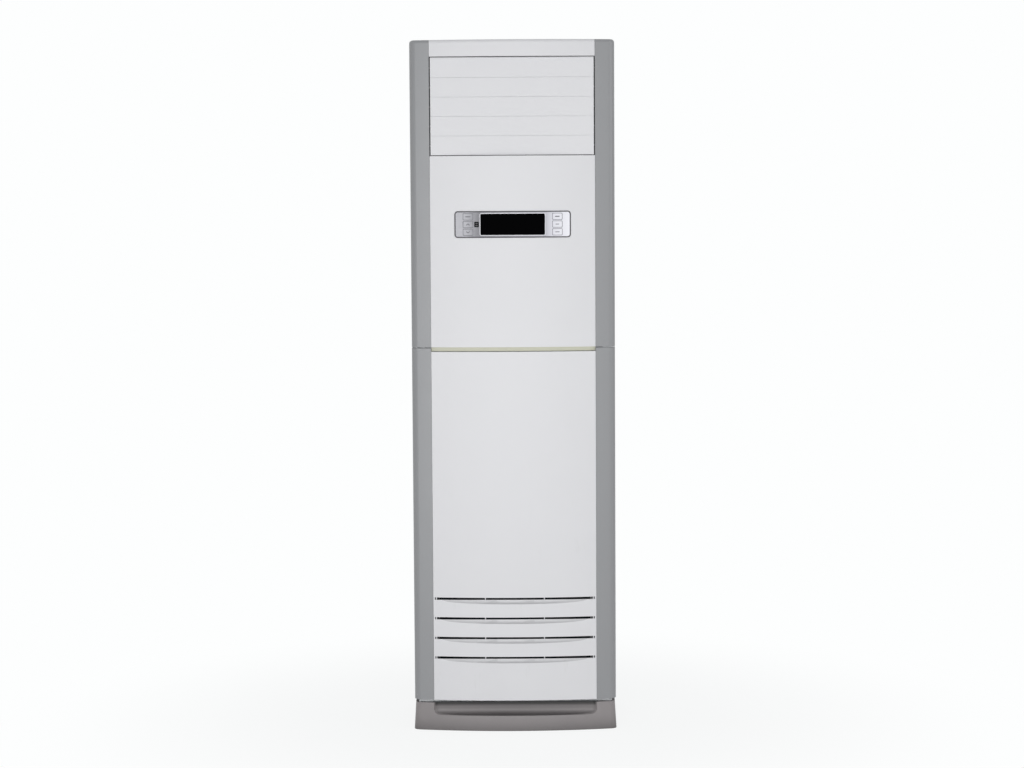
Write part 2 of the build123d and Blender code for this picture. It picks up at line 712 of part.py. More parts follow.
with BuildPart() as louvre_crank:
    with BuildSketch(Plane.YZ.offset(-drive_in - drive_t)):
        with Locations((drive_y, drive_z)):
            Circle(4.8)
        with Locations((drive_y + crank_r, drive_z)):
            Circle(3.6)
        with Locations((drive_y + crank_r / 2, drive_z)):
            Rectangle(crank_r, 5)
    extrude(amount=drive_t)
    with BuildSketch(Plane.YZ.offset(-drive_in - 0.1)):
        with Locations((drive_y + crank_r, drive_z)):
            Circle(crank_pin_r)
    extrude(amount=drive_in - link_in + 0.1)
    with BuildSketch(Plane.YZ.offset(-drive_in - drive_t)):
        with Locations((drive_y, drive_z)):
            Circle(pin_r)
    extrude(amount=-(mount_t + 10))
save(louvre_crank, "louvre_crank")

with BuildPart() as step_motors:
    with BuildSketch(Plane.YZ.offset(-plate_in - mount_t)):
        with Locations((drive_y, drive_z)):
            Circle(motor_r)
            Circle(pin_r + running, mode=Mode.SUBTRACT)
    extrude(amount=-motor_t)
    with BuildSketch(Plane.XY.offset(duct_floor - duct_wall)):
        with Locations((0, vane_y)):
            Circle(motor_r)
            Circle(pin_r + running, mode=Mode.SUBTRACT)
    extrude(amount=-motor_t)
save(step_motors, "step_motors")

for n, x in enumerate(vane_xs):
    with BuildPart() as vane:
        with BuildSketch(Plane.XY.offset(vane_low)):
            with Locations((x, vane_y)):
                Ellipse(1.6, vane_chord / 2 - 1)
                Circle(3)
        extrude(amount=vane_high - vane_low)
        with BuildSketch(Plane.XY.offset(duct_floor - duct_wall)):
            with Locations((x, vane_y)):
                Circle(crank_pin_r)
        extrude(amount=duct_ceiling - duct_floor + 2 * duct_wall)
        with BuildSketch(Plane.XY.offset(vane_link_z - 0.8)):
            with Locations((x, vane_y + vane_crank_r)):
                Circle(crank_pin_r)
        extrude(amount=vane_low - vane_link_z + 3)
        with BuildSketch(Plane.XY.offset(vane_low - 2)):
            with Locations((x, vane_y + vane_crank_r / 2)):
                Rectangle(5, vane_crank_r + 4)
        extrude(amount=2.5)
    save(vane, f"vane_{n + 1}")

vane_lead = vane_count // 2 - 1
with BuildPart() as vane_link:
    with BuildSketch(Plane.XY.offset(vane_link_z)):
        with Locations((0, vane_y + vane_crank_r)):
            RectangleRounded(vane_xs[-1] - vane_xs[0] + 12, 9, 4)
        with Locations(*[(x, vane_y + vane_crank_r) for n, x in enumerate(vane_xs)
                         if n != vane_lead] + [(0, vane_y + vane_crank_r)]):
            Circle(crank_pin_r + loose, mode=Mode.SUBTRACT)
        with Locations((vane_xs[vane_lead], vane_y + vane_crank_r)):
            Circle(crank_pin_r + running, mode=Mode.SUBTRACT)
    extrude(amount=2.5)
save(vane_link, "vane_link")

with BuildPart() as swing_crank:
    with BuildSketch(Plane.XY.offset(duct_floor + 0.7)):
        with Locations((0, vane_y)):
            Circle(4.8)
        with Locations((0, vane_y + vane_crank_r)):
            Circle(3.6)
        with Locations((0, vane_y + vane_crank_r / 2)):
            Rectangle(5, vane_crank_r)
    extrude(amount=1.5)
    with BuildSketch(Plane.XY.offset(duct_floor + 2)):
        with Locations((0, vane_y + vane_crank_r)):
            Circle(crank_pin_r)
    extrude(amount=3.1)
    with BuildSketch(Plane.XY.offset(duct_floor + 1)):
        with Locations((0, vane_y)):
            Circle(pin_r)
    extrude(amount=-(duct_wall + 11))
save(swing_crank, "swing_crank")

# ---- coil chamber -------------------------------------------------------------------------
chamber_half = side_in - seat
bulkhead_y = side_front + sheet + seat
shelf_back = side_back - sheet - seat
inlet_y = bulkhead_y + sheet + seat          # front of the scroll, behind its inlet plate
scroll_back = front_y + 232.0
scroll_wall = 2.0
fan_x = -15.0
scroll_r0 = fan_r + 12.0
scroll_hose_room = 17.0  # between the scroll's passage and the drain hose
scroll_growth = hose_x - hose_r - scroll_hose_room - fan_x - scroll_r0
tongue_angle = 60.0
outlet_left = fan_x + scroll_r0 * cos(radians(tongue_angle))
outlet_right = fan_x + scroll_r0 + scroll_growth
coil_y = front_y + 122.0
coil_z = 800.0
coil_run = 135.476       # how far the coil leans back
coil_half = side_in - 53.8
coil_top_room = 75.434   # from the top of the coil up to the outlet
coil_rise = window_low - coil_top_room - coil_z
coil_lean = atan2(coil_run, coil_rise)
coil_len = hypot(coil_run, coil_rise)
coil_t = 44.0
tube_r = 4.76
tube_rows = (-11.0, 11.0)
tube_count = 11
tube_edge = 30.0
tube_pitch = (coil_len - 2 * tube_edge) / (tube_count - 1)
end_t = 1.5
pan_z = 735.0
pan_h = 40.0
pan_w = side_in - 36.8
pipe_x = 20.8 - side_in
hose_y = front_y + 166.0
spout_r = 9.0


def coil_point(u, v, x=0.0):
    """A point of the leaning coil: u up its slope, v through its thickness."""
    return (x, coil_y + u * sin(coil_lean) - v * cos(coil_lean),
            coil_z + u * cos(coil_lean) + v * sin(coil_lean))


def coil_section(x):
    """Plane across the coil at x, with u along the slope."""
    return Plane(origin=coil_point(0, 0, x), x_dir=(0, sin(coil_lean), cos(coil_lean)),
                 z_dir=(1, 0, 0))


first_tube = (coil_len - (tube_count - 1) * tube_pitch) / 2
tube_us = [first_tube + n * tube_pitch for n in range(tube_count)]
gas_y, gas_z = coil_point(tube_us[0], tube_rows[1])[1:]
liquid_y, liquid_z = coil_point(tube_us[0], tube_rows[0])[1:]
gas_r, liquid_r = 8.0, 4.76

with BuildPart() as bulkhead:
    with BuildSketch(Plane.XZ.offset(-bulkhead_y - sheet)):
        with Locations((0, shelf_z)):
            Rectangle(2 * chamber_half, duct_floor - duct_wall - seat - shelf_z,
                      align=(Align.CENTER, Align.MIN))
    extrude(amount=sheet)
    with BuildSketch(Plane.XY.offset(shelf_z)):
        with Locations((0, bulkhead_y)):
            Rectangle(2 * chamber_half, shelf_back - bulkhead_y, align=(Align.CENTER, Align.MIN))
        with Locations((outlet_left, inlet_y)):
            Rectangle(outlet_right - outlet_left, scroll_back - scroll_wall - inlet_y,
                      align=Align.MIN, mode=Mode.SUBTRACT)
        with Locations((pipe_x, gas_y)):
            Circle(gas_r + 2, mode=Mode.SUBTRACT)
        with Locations((pipe_x, liquid_y)):
            Circle(liquid_r + 2, mode=Mode.SUBTRACT)
        with Locations((hose_x, hose_y)):
            Circle(hose_r + 2, mode=Mode.SUBTRACT)
    extrude(amount=sheet)
save(bulkhead, "bulkhead")

with BuildPart() as evaporator_fins:
    with BuildSketch(coil_section(-coil_half)):
        with Locations((coil_len / 2, 0)):
            Rectangle(coil_len, coil_t)
        with Locations(*[(u, v) for u in tube_us for v in tube_rows]):
            Circle(tube_r + 0.05, mode=Mode.SUBTRACT)
    extrude(amount=2 * coil_half)
save(evaporator_fins, "evaporator_fins")

end_x = coil_half + seat
flange_low = 70.0        # the flanges start above the pipes
with BuildPart() as coil_end_plates:
    for side in (-1, 1):
        with BuildSketch(coil_section(side * end_x)):
            with Locations((coil_len / 2, 0)):
                Rectangle(coil_len + 12, coil_t + 4)
            with Locations(*[(u, v) for u in tube_us for v in tube_rows]):
                Circle(tube_r + 0.05, mode=Mode.SUBTRACT)
        extrude(amount=side * end_t)
        with BuildSketch(coil_section(side * end_x)):
            with Locations((flange_low, -coil_t / 2 - 2)):
                Rectangle(coil_len + 6 - flange_low, end_t, align=Align.MIN)
        extrude(amount=side * (chamber_half - end_x))
save(coil_end_plates, "coil_end_plates")

tube_half = end_x + end_t + 3.0
with BuildPart() as evaporator_tubes:
    for v in tube_rows:
        with BuildSketch(coil_section(-tube_half)):
            with Locations(*[(u, v) for u in tube_us]):
                Circle(tube_r)
        extrude(amount=2 * tube_half)
        for n, u in enumerate(tube_us[:-1]):
            side = 1 if n % 2 == 0 else -1
            with BuildSketch(coil_section(side * tube_half)):
                with Locations((u, v)):
                    Circle(tube_r)
            middle = coil_point(u + tube_pitch / 2, v, side * tube_half)
            across = (0, -side * cos(coil_lean), side * sin(coil_lean))
            revolve(axis=Axis(middle, across), revolution_arc=180)
    with BuildSketch(coil_section(tube_half)):
        with Locations((tube_us[-1], tube_rows[0])):
            Circle(tube_r)
    revolve(axis=Axis(coil_point(tube_us[-1], 0, tube_half),
                      (0, -sin(coil_lean), -cos(coil_lean))), revolution_arc=180)
save(evaporator_tubes, "evaporator_tubes")

with BuildPart() as drain_pan:
    add(tray(pan_w, bulkhead_y + sheet + seat, hose_y + 14, pan_z, pan_h, 2.0).part)
    with BuildSketch(Plane.YZ.offset(pan_w - 1)):
        with Locations((hose_y, pan_z + spout_r)):
            Circle(spout_r)
    extrude(amount=hose_x + spout_r - pan_w + 1)
    with BuildSketch(Plane.XY.offset(pan_z - 12)):
        with Locations((hose_x, hose_y)):
            Circle(spout_r)
    extrude(amount=spout_r + 12)
    with BuildSketch(Plane.YZ.offset(pan_w - 3)):
        with Locations((hose_y, pan_z + spout_r)):
            Circle(spout_r - 2)
    extrude(amount=hose_x - pan_w + 3, mode=Mode.SUBTRACT)
    with BuildSketch(Plane.XY.offset(pan_z - 12)):
        with Locations((hose_x, hose_y)):
            Circle(spout_r - 2)
    extrude(amount=spout_r + 12, mode=Mode.SUBTRACT)
save(drain_pan, "drain_pan")


def bent_tube(points, radius, outer_r, bore_r):
    """Tube along straight runs joined by arcs."""
    with BuildPart() as tube:
        with BuildLine() as route:
            FilletPolyline(*points, radius=radius)
        with BuildSketch(Plane(origin=route.line @ 0, z_dir=route.line % 0)):
            Circle(outer_r)
            if bore_r:
                Circle(bore_r, mode=Mode.SUBTRACT)
        sweep()
    return tube


save(bent_tube([(hose_x, hose_y, pan_z - 12 - seat), (hose_x, hose_y, hose_exit_z),
                (hose_x, rear_face_y + 1, hose_exit_z)], 45.0, hose_r, hose_r - 2),
     "drain_hose")

pipe_run_y = front_y + 249.0
pipe_end_y = rear_face_y - 8.0
nut_h = 18.0
with BuildPart() as refrigerant_pipes:
    for y, z, end_z, radius in ((gas_y, gas_z, pipe_hole_z + 20, gas_r),
                                (liquid_y, liquid_z, pipe_hole_z - 20, liquid_r)):
        add(bent_tube([(-tube_half - seat, y, z), (pipe_x, y, z), (pipe_x, y, end_z),
                       (pipe_x, pipe_run_y, end_z), (pipe_hole_x, pipe_run_y, end_z),
                       (pipe_hole_x, pipe_end_y, end_z)], 18.0, radius, 0).part)
        with BuildSketch(Plane.XZ.offset(-pipe_end_y + 8)):
            with Locations((pipe_hole_x, end_z)):
                RegularPolygon(radius + 5, 6)
        extrude(amount=nut_h)
save(refrigerant_pipes, "refrigerant_pipes")

# ---- fan chamber -----------------------------------------------------------------------
wheel_front = inlet_y + 7.0
wheel_back = wheel_front + fan_w
wheel_in = fan_r - 26.0
wheel_wall = 3.0
mouth_r = 118.0
hub_r = 20.0
hub_len = 42.0
shaft_r = 6.0
fan_blades = 36
motor_body_r = 60.0
motor_flange_r = 80.0
motor_len = 66.0
filter_half = side_in - 48.8
filter_low = plinth_h + tray_h + 2.0
filter_h = 525.0
filter_t = 8.0
filter_back = bulkhead_y - seat


def scroll_section(grow):
    """Section of the air passage in the scroll, moved out by grow."""
    curve = []
    for n in range(11):
        angle = radians(tongue_angle + n * (360 - tongue_angle) / 10)
        r = scroll_r0 + grow + scroll_growth * n / 10
        curve.append((fan_x + r * cos(angle), fan_z + r * sin(angle)))
    with BuildSketch() as section:
        with BuildLine():
            Spline(*curve)
            Line(curve[-1], curve[0])
        make_face()
        with Locations((outlet_left - grow, fan_z)):
            Rectangle(outlet_right - outlet_left + 2 * grow, shelf_z - seat - fan_z,
                      align=Align.MIN)
    return section.sketch


with BuildPart() as scroll_housing:
    with BuildSketch(Plane.XZ.offset(-scroll_back)):
        add(scroll_section(scroll_wall))
    extrude(amount=scroll_back - inlet_y)
    with BuildSketch(Plane.XZ.offset(-scroll_back + scroll_wall)):
        add(scroll_section(0))
    extrude(amount=scroll_back - inlet_y, mode=Mode.SUBTRACT)
    with BuildSketch(Plane.XZ.offset(-scroll_back)):
        with Locations((fan_x, fan_z)):
            Circle(hub_r + 4)
    extrude(amount=2 * scroll_wall, mode=Mode.SUBTRACT)
save(scroll_housing, "scroll_housing")

guide_half = filter_half + 0.5
guide_depth = filter_t + 2 * seat + sheet
with BuildPart() as inlet_plate:
    with BuildSketch(Plane.XZ.offset(-bulkhead_y - sheet)):
        with Locations((0, plinth_h + tray_h + seat)):
            Rectangle(2 * chamber_half, shelf_z - seat - plinth_h - tray_h - seat,
                      align=(Align.CENTER, Align.MIN))
        with Locations((0, plinth_h + 2 * sheet + seat)):
            Rectangle(2 * (pan_half - 2 * sheet - seat), tray_h,
                      align=(Align.CENTER, Align.MIN))
        with Locations((fan_x, fan_z)):
            Circle(mouth_r, mode=Mode.SUBTRACT)
    extrude(amount=sheet)
    with BuildSketch(Plane.XZ.offset(-wheel_front - 6)):
        with Locations((fan_x, fan_z)):
            Circle(mouth_r + 1.5)
            Circle(mouth_r, mode=Mode.SUBTRACT)
    extrude(amount=wheel_front + 6 - bulkhead_y)
    with BuildSketch(Plane.XY.offset(filter_low - seat - sheet)):
        for side in (-1, 1):
            with Locations((side * (guide_half + sheet / 2), bulkhead_y)):
                Rectangle(sheet, guide_depth, align=(Align.CENTER, Align.MAX))
            with Locations((side * (guide_half + sheet - 7), bulkhead_y - guide_depth)):
                Rectangle(14, sheet, align=(Align.CENTER, Align.MIN))
    extrude(amount=filter_h + sheet + seat)
    with BuildSketch(Plane.XY.offset(filter_low - seat - sheet)):
        with Locations((0, bulkhead_y)):
            Rectangle(2 * (guide_half + sheet), guide_depth, align=(Align.CENTER, Align.MAX))
    extrude(amount=sheet)
save(inlet_plate, "inlet_plate")

cell = 75.0
with BuildPart() as air_filter:
    with BuildSketch(Plane.XZ.offset(-filter_back)):
        with Locations((0, filter_low + filter_h / 2)):
            RectangleRounded(2 * filter_half, filter_h, 4)
            Rectangle(2 * filter_half - 22, filter_h - 22, mode=Mode.SUBTRACT)
    extrude(amount=filter_t)
    with BuildSketch(Plane.XZ.offset(-filter_back + 2)):
        for n in range(-2, 3):
            with Locations((n * cell, filter_low + filter_h / 2)):
                Rectangle(3, filter_h - 10)
        for n in range(-3, 4):
            with Locations((0, filter_low + filter_h / 2 + n * cell)):
                Rectangle(2 * filter_half - 10, 3)
    extrude(amount=4)
    with BuildSketch(Plane.XZ.offset(-filter_back + 3.6)):
        with Locations((0, filter_low + filter_h / 2)):
            Rectangle(2 * filter_half - 10, filter_h - 10)
    extrude(amount=0.8)
    with BuildSketch(Plane.XZ.offset(-filter_back + 2)):
        with Locations((0, filter_low + filter_h)):
            RectangleRounded(64, 18, 6)
    extrude(amount=4)
save(air_filter, "air_filter")


def wheel_blade():
    """Section of one blade of the wheel, curved forward."""
    middle_r = (wheel_in + fan_r) / 2
    with BuildSketch() as section:
        with BuildLine():
            ThreePointArc((wheel_in, 0), (middle_r, 1.6), (fan_r - 1.2, 10))
            Line((fan_r - 1.2, 10), (fan_r - 1.4, 11.8))
            ThreePointArc((fan_r - 1.4, 11.8), (middle_r - 0.6, 3.4), (wheel_in, 1.6))
            Line((wheel_in, 1.6), (wheel_in, 0))
        make_face()
    return section.sketch


with BuildPart() as fan_wheel:
    with BuildSketch(Plane.XZ.offset(-wheel_back + wheel_wall / 2)):
        with Locations((fan_x, fan_z)):
            for n in range(fan_blades):
                add(wheel_blade(), rotation=n * 360 / fan_blades)
    extrude(amount=fan_w - wheel_wall)
    with BuildSketch(Plane.XZ.offset(-wheel_front - wheel_wall)):
        with Locations((fan_x, fan_z)):
            Circle(fan_r)
            Circle(wheel_in, mode=Mode.SUBTRACT)
    extrude(amount=wheel_wall)
    with BuildSketch(Plane.XZ.offset(-wheel_back)):
        with Locations((fan_x, fan_z)):
            Circle(fan_r)
    extrude(amount=wheel_wall)
    with BuildSketch(Plane.XZ.offset(-wheel_back)):
        with Locations((fan_x, fan_z)):
            Circle(hub_r)
    extrude(amount=hub_len)
    with BuildSketch(Plane.XZ.offset(-wheel_back)):
        with Locations((fan_x, fan_z)):
            Circle(shaft_r + 0.02)
    extrude(amount=hub_len, mode=Mode.SUBTRACT)
save(fan_wheel, "fan_wheel")

motor_front = scroll_back + seat
with BuildPart() as fan_shaft:
    with BuildSketch(Plane.XZ.offset(-motor_front - motor_len + 14)):
        with Locations((fan_x, fan_z)):
            Circle(shaft_r)
    extrude(amount=motor_front + motor_len - 14 - wheel_back + hub_len + 8)
save(fan_shaft, "fan_shaft")

with BuildPart() as fan_motor:
    with BuildSketch(Plane.XZ.offset(-motor_front - wheel_wall)):
        with Locations((fan_x, fan_z)):
            Circle(motor_flange_r)
    extrude(amount=wheel_wall)
    with BuildSketch(Plane.XZ.offset(-motor_front - motor_len)):
        with Locations((fan_x, fan_z)):
            Circle(motor_body_r)
    extrude(amount=motor_len)
    fillet(fan_motor.faces().sort_by(Axis.Y)[-1].edges(), 8)
    with BuildSketch(Plane.XZ.offset(-motor_front - motor_len + 10)):
        with Locations((fan_x, fan_z)):
            Circle(shaft_r + running)
    extrude(amount=motor_len, mode=Mode.SUBTRACT)
save(fan_motor, "fan_motor")

# ---- electrics -----------------------------------------------------------------------------
box_half = side_in - 68.8
terminal_x = 35.0 - box_half
box_room = 40.0          # over the filter, for lifting it out
box_low = filter_low + filter_h + box_room
box_h = 240.0
box_back = bulkhead_y - seat
box_depth = 48.0
box_front = box_back - box_depth
board_back = box_back - 8.0
main_board_t = 1.6
stud_r = 3.5
with BuildPart() as electric_box:
    with BuildSketch(Plane.XZ.offset(-box_back)):
        with Locations((0, box_low + box_h / 2)):
            Rectangle(2 * box_half, box_h)
    extrude(amount=box_depth)
    with BuildSketch(Plane.XZ.offset(-box_back + sheet)):
        with Locations((0, box_low + box_h / 2)):
            Rectangle(2 * (box_half - sheet), box_h - 2 * sheet)
    extrude(amount=box_depth, mode=Mode.SUBTRACT)
    with BuildSketch(Plane.XZ.offset(-box_back)):
        with Locations((35, box_low + box_h / 2)):
            with GridLocations(240, 180, 2, 2):
                Circle(stud_r)
        with Locations((terminal_x, box_low + box_h / 2)):
            with GridLocations(1, 90, 1, 2):
                Circle(stud_r)
    extrude(amount=box_back - board_back - seat)
save(electric_box, "electric_box")

with BuildPart() as box_cover:
    with BuildSketch(Plane.XZ.offset(-box_front + seat)):
        with Locations((0, box_low + box_h / 2)):
            Rectangle(2 * box_half, box_h)
    extrude(amount=sheet)
save(box_cover, "box_cover")

with BuildPart() as main_board:
    with BuildSketch(Plane.XZ.offset(-board_back)):
        with Locations((35, box_low + box_h / 2)):
            RectangleRounded(260, 200, 4)
    extrude(amount=main_board_t)
    with BuildSketch(Plane.XZ.offset(-board_back + main_board_t)):
        with Locations((-50, box_low + 170), (-20, box_low + 170)):
            Circle(11)
        with Locations((60, box_low + 165)):
            Rectangle(50, 45)
    extrude(amount=28)
    with BuildSketch(Plane.XZ.offset(-board_back + main_board_t)):
        with Locations((-40, box_low + 70)):
            with GridLocations(26, 34, 3, 2):
                Rectangle(18, 24)
        with Locations((100, box_low + 70)):
            Rectangle(70, 60)
    extrude(amount=16)
save(main_board, "main_board")

with BuildPart() as terminal_block:
    with BuildSketch(Plane.XZ.offset(-board_back)):
        with Locations((terminal_x, box_low + box_h / 2)):
            RectangleRounded(38, 130, 2)
    extrude(amount=24)
    with BuildSketch(Plane.XZ.offset(-board_back + 24)):
        with Locations((terminal_x, box_low + box_h / 2)):
            with GridLocations(1, 20, 1, 6):
                Rectangle(26, 14)
    extrude(amount=-8, mode=Mode.SUBTRACT)
save(terminal_block, "terminal_block")
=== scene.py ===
"""Finish of a floor standing air conditioner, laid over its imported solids."""

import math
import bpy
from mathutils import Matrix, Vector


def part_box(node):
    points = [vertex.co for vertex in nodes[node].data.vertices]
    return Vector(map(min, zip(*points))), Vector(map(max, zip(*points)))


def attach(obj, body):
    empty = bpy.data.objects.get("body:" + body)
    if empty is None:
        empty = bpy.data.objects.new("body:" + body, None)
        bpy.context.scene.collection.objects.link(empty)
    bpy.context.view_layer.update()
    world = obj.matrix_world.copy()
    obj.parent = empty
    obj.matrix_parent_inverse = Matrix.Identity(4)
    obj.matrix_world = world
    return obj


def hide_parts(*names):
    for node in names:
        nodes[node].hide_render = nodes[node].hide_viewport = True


bl_info = {
    "name": "Floor Standing Air Conditioner",
    "version": (1, 0, 0),
    "blender": (4, 5, 0),
    "location": "View3D > Sidebar > Air Conditioner",
    "description": "Materials, small printed parts, studio and camera of the cabinet",
    "category": "Object",
}

import bmesh
import bpy
from bpy.props import FloatProperty, FloatVectorProperty, PointerProperty
from mathutils import Matrix, Vector

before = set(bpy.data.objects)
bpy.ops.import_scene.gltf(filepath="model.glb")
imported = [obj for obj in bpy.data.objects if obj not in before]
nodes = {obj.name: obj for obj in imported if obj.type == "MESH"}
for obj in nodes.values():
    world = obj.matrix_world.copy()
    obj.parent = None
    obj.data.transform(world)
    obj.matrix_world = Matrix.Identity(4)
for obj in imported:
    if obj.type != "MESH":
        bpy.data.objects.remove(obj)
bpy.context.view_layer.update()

MM = 0.001
QUARTER_TURN = math.radians(90.0)

# ---- where the solids are, in millimetres ---------------------------------------------------
PANEL_BOW = 1360.0            # plan radius of the bowed white panels
PANEL_FACE = 154.0            # how far their middle stands in front of the origin
PLINTH_BOW = 1180.0           # plan radius of the plinth's face
PLINTH_FACE = 157.5           # how far its middle stands in front of the origin
SCOOPS_TOP = 336.0            # the intake scoops all lie below this height
RECESS_HALF = 205.0           # just past either end of the finger recess
RECESS_LOW = 36.0             # just under its lower lip
RECESS_HIGH = 68.5            # just over the plinth's top edge
RECESS_START = (5.0, 9.0)     # its painted shade begins between these depths behind the face
RECESS_END = (28.0, 30.0)     # and ends between these
PLINTH_DARKENS_FROM = 50.0             # the plinth is darker from here down to the floor
MARKS_LOW, MARKS_TOP = 100.0, 950.0     # scuffs on the white panels fade out on the way up
CONSOLE_HALF = 142.0          # half the width of the console plate
WINDOW = (157.6, 52.1)        # width and height of the hole that the display fills
WINDOW_CORNER = 3.0
BUTTON = (22.7, 14.4)         # width and height of a button
BUTTON_CORNER = 2.5
BUTTON_X = 109.0              # the two columns of buttons stand this far out
BUTTON_PITCH = 18.9
RECEIVER = (5.6, 3.6)         # width and height of one receiver window
RECEIVER_X = -88.0
RECEIVER_RISE = 2.7           # the two windows lie this far over and under the middle

# ---- how far thin parts stand out of the console plate, in millimetres ------------------------
RIM_PROUD, BEZEL_PROUD, SURROUND_PROUD, RECEIVER_PROUD = 0.25, 0.2, 0.12, 0.1

# ---- printed marks on the buttons, in millimetres ---------------------------------------------
BAR_1, BAR_4, BAR_5, BAR_6 = (12.5, 1.7), (11.0, 2.2), (8.6, 1.7), (10.4, 1.6)
ARM = (5.6, 1.4)              # length and width of one arm of a chevron
ARM_OFFSET = 2.1
ARM_LEAN = math.radians(38.0)

# ---- screws, in millimetres ---------------------------------------------------------------------
SCREW_RADIUS, SHANK_RADIUS = 4.0, 1.9
HEAD_HEIGHT = 2.0
HEAD_DOME = 1.1
CROSS_LENGTH, CROSS_WIDTH, CROSS_DEPTH = 4.2, 0.9, 0.05
CROSS_PROUD = 0.01
CROSS_SINK = 0.03
EDGE_REACH = 0.1              # edges this close to the head's top belong to its rim
SCREWS_A_SIDE = 5

# ---- studio, in metres ------------------------------------------------------------------------
FLOOR_HALF = 12.0
FADE_START, FADE_END = 0.35, 1.3     # distances over which the floor turns into background
FADE_LEAST = 0.88                    # share of background close to the cabinet
LAMP_SIZE = 2.0
LAMP_AIM = (0.0, 0.0, 0.9)
FRONT_LAMP = (-0.25, -3.4, 0.95)
SIDE_LAMP = (3.2, -1.6, 1.6)
SENSOR_WIDTH = 36.0                  # millimetres
EVEN_LIGHT = (0.97, 0.98, 1.0, 1.0)
FLOOR_PAINT = (0.86, 0.86, 0.86, 1.0)


def linear(hex_colour):
    """Linear colour of an sRGB hex value."""
    parts = [int(hex_colour[i:i + 2], 16) / 255 for i in (0, 2, 4)]
    return tuple(c / 12.92 if c <= 0.04045 else ((c + 0.055) / 1.055) ** 2.4 for c in parts)


def per_metre(size_mm):
    """Texture scale at which one feature is about size_mm across."""
    return 1000.0 / size_mm


def colour(name, hex_colour, words):
    return FloatVectorProperty(name=name, description=words, subtype="COLOR", size=3,
                               min=0.0, max=1.0, default=linear(hex_colour))


def length(name, size_mm, words):
    return FloatProperty(name=name, description=words, subtype="DISTANCE", unit="LENGTH",
                         min=0.0, default=size_mm * MM)


# ---- what a user would change ---------------------------------------------------------------
class CabinetColours(bpy.types.PropertyGroup):
    """Colours of the outside of the cabinet."""
    white: colour("White panels", "E9E9EB", "Moulded ABS of the front panels and the blades")
    column: colour("Columns", "97989A", "Silver grey paint of the corner columns")
    strip: colour("Seam strip", "DCDCC8", "Khaki ABS between the two front panels")
    plinth: colour("Plinth", "959090", "Grey ABS of the plinth")
    casing: colour("Casing", "E2E2E1", "Powder coat of the sides and the back")


class ConsoleSizes(bpy.types.PropertyGroup):
    """Sizes and colours of the console."""
    width: length("Plate width", 284.0, "Width of the console plate")
    height: length("Plate height", 65.0, "Height of the console plate")
    centre_z: length("Plate centre", 1251.9, "Height of the plate's middle over the floor")
    bow: length("Bow radius", PANEL_BOW, "Plan radius of the bowed face")
    face: length("Face", PANEL_FACE,
                 "How far the middle of the face stands in front of the origin")
    proud: length("Plate stands out", 0.8, "How far the plate stands out of the panel")
    border: length("Border", 2.8, "Width of the dark rim round the plate")
    corner: length("Corner", 8.0, "Corner radius of the plate")
    bezel: length("Bezel", 1.5, "Width of the pale rim round the display")
    surround: length("Button surround", 1.3, "Width of the grey line round a button")
    ring: colour("Surround", "6C6C72", "Grey line round each button")
    mark: length("Mark", 0.12, "How far a printed mark stands out")
    metal: colour("Plate", "E4E4E7", "Brushed aluminium of the plate")
    # The rim's dark grey is painted shadow of the gap round the plate.
    rim: colour("Rim", "48474C", "Dark rim of painted shadow round the plate")
    ink: colour("Ink", "505056", "Ink of the button marks")


class StudioSettings(bpy.types.PropertyGroup):
    """Camera and light."""
    lens: FloatProperty(name="Lens", description="Focal length on a 36 mm sensor, in millimetres",
                        min=10.0, max=200.0, default=84.17)
    yaw: FloatProperty(name="Yaw", description="Turn of the camera about the upright axis",
                       subtype="ANGLE", default=math.radians(-0.19))
    pitch: FloatProperty(name="Pitch", description="How far the camera looks down",
                         subtype="ANGLE", default=math.radians(4.468))
    roll: FloatProperty(name="Roll", description="Tilt of the camera about its line of sight",
                        subtype="ANGLE", default=math.radians(-0.344))
    place: FloatVectorProperty(name="Place", description="Where the camera stands",
                               subtype="TRANSLATION", size=3, default=(0.0155, -6.0, 1.3185))
    world: FloatProperty(name="World", description="Strength of the even light from all round",
                         min=0.0, default=0.47)
    front: FloatProperty(name="Front light", description="Power of the large lamp in front",
                         subtype="POWER", min=0.0, default=38.0)
    side: FloatProperty(name="Side light", description="Power of the lamp at the side",
                        subtype="POWER", min=0.0, default=8.0)
    backdrop: colour("Backdrop", "FDFEFE", "Colour of the background")


# ---- shader nodes ---------------------------------------------------------------------------
def fill(tree, node, inputs):
    """Sets or links the inputs of a node."""
    for key, value in inputs.items():
        if isinstance(value, bpy.types.NodeSocket):
            tree.links.new(value, node.inputs[key])
        else:
            node.inputs[key].default_value = value


def add(tree, kind, inputs=None, **settings):
    """Adds a node with its settings, and sets or links its inputs."""
    node = tree.nodes.new(kind)
    for key, value in settings.items():
        setattr(node, key, value)
    fill(tree, node, inputs or {})
    return node


def start(name):
    """A new material, its node tree and the coordinates in metres."""
    material = bpy.data.materials.new(name)
    material.use_nodes = True
    tree = material.node_tree
    return material, tree, add(tree, "ShaderNodeTexCoord").outputs["Object"]


def opened(material):
    """The node tree and the coordinates of a material that start() made."""
    tree = material.node_tree
    return tree, tree.nodes["Texture Coordinate"].outputs["Object"]


def surface(tree, inputs):
    """Sets or links the inputs of the material's shader."""
    fill(tree, tree.nodes["Principled BSDF"], inputs)


def shaded(base, share):
    """The colour, made lighter or darker by a share."""
    return tuple(min(1.0, c * share) for c in base) + (1.0,)


def noise(tree, place, size_mm, detail=2.0, roughness=0.5):
    """Cloudy noise with features of a given size."""
    return add(tree, "ShaderNodeTexNoise",
               {"Vector": place, "Scale": per_metre(size_mm), "Detail": detail,
                "Roughness": roughness}).outputs["Fac"]


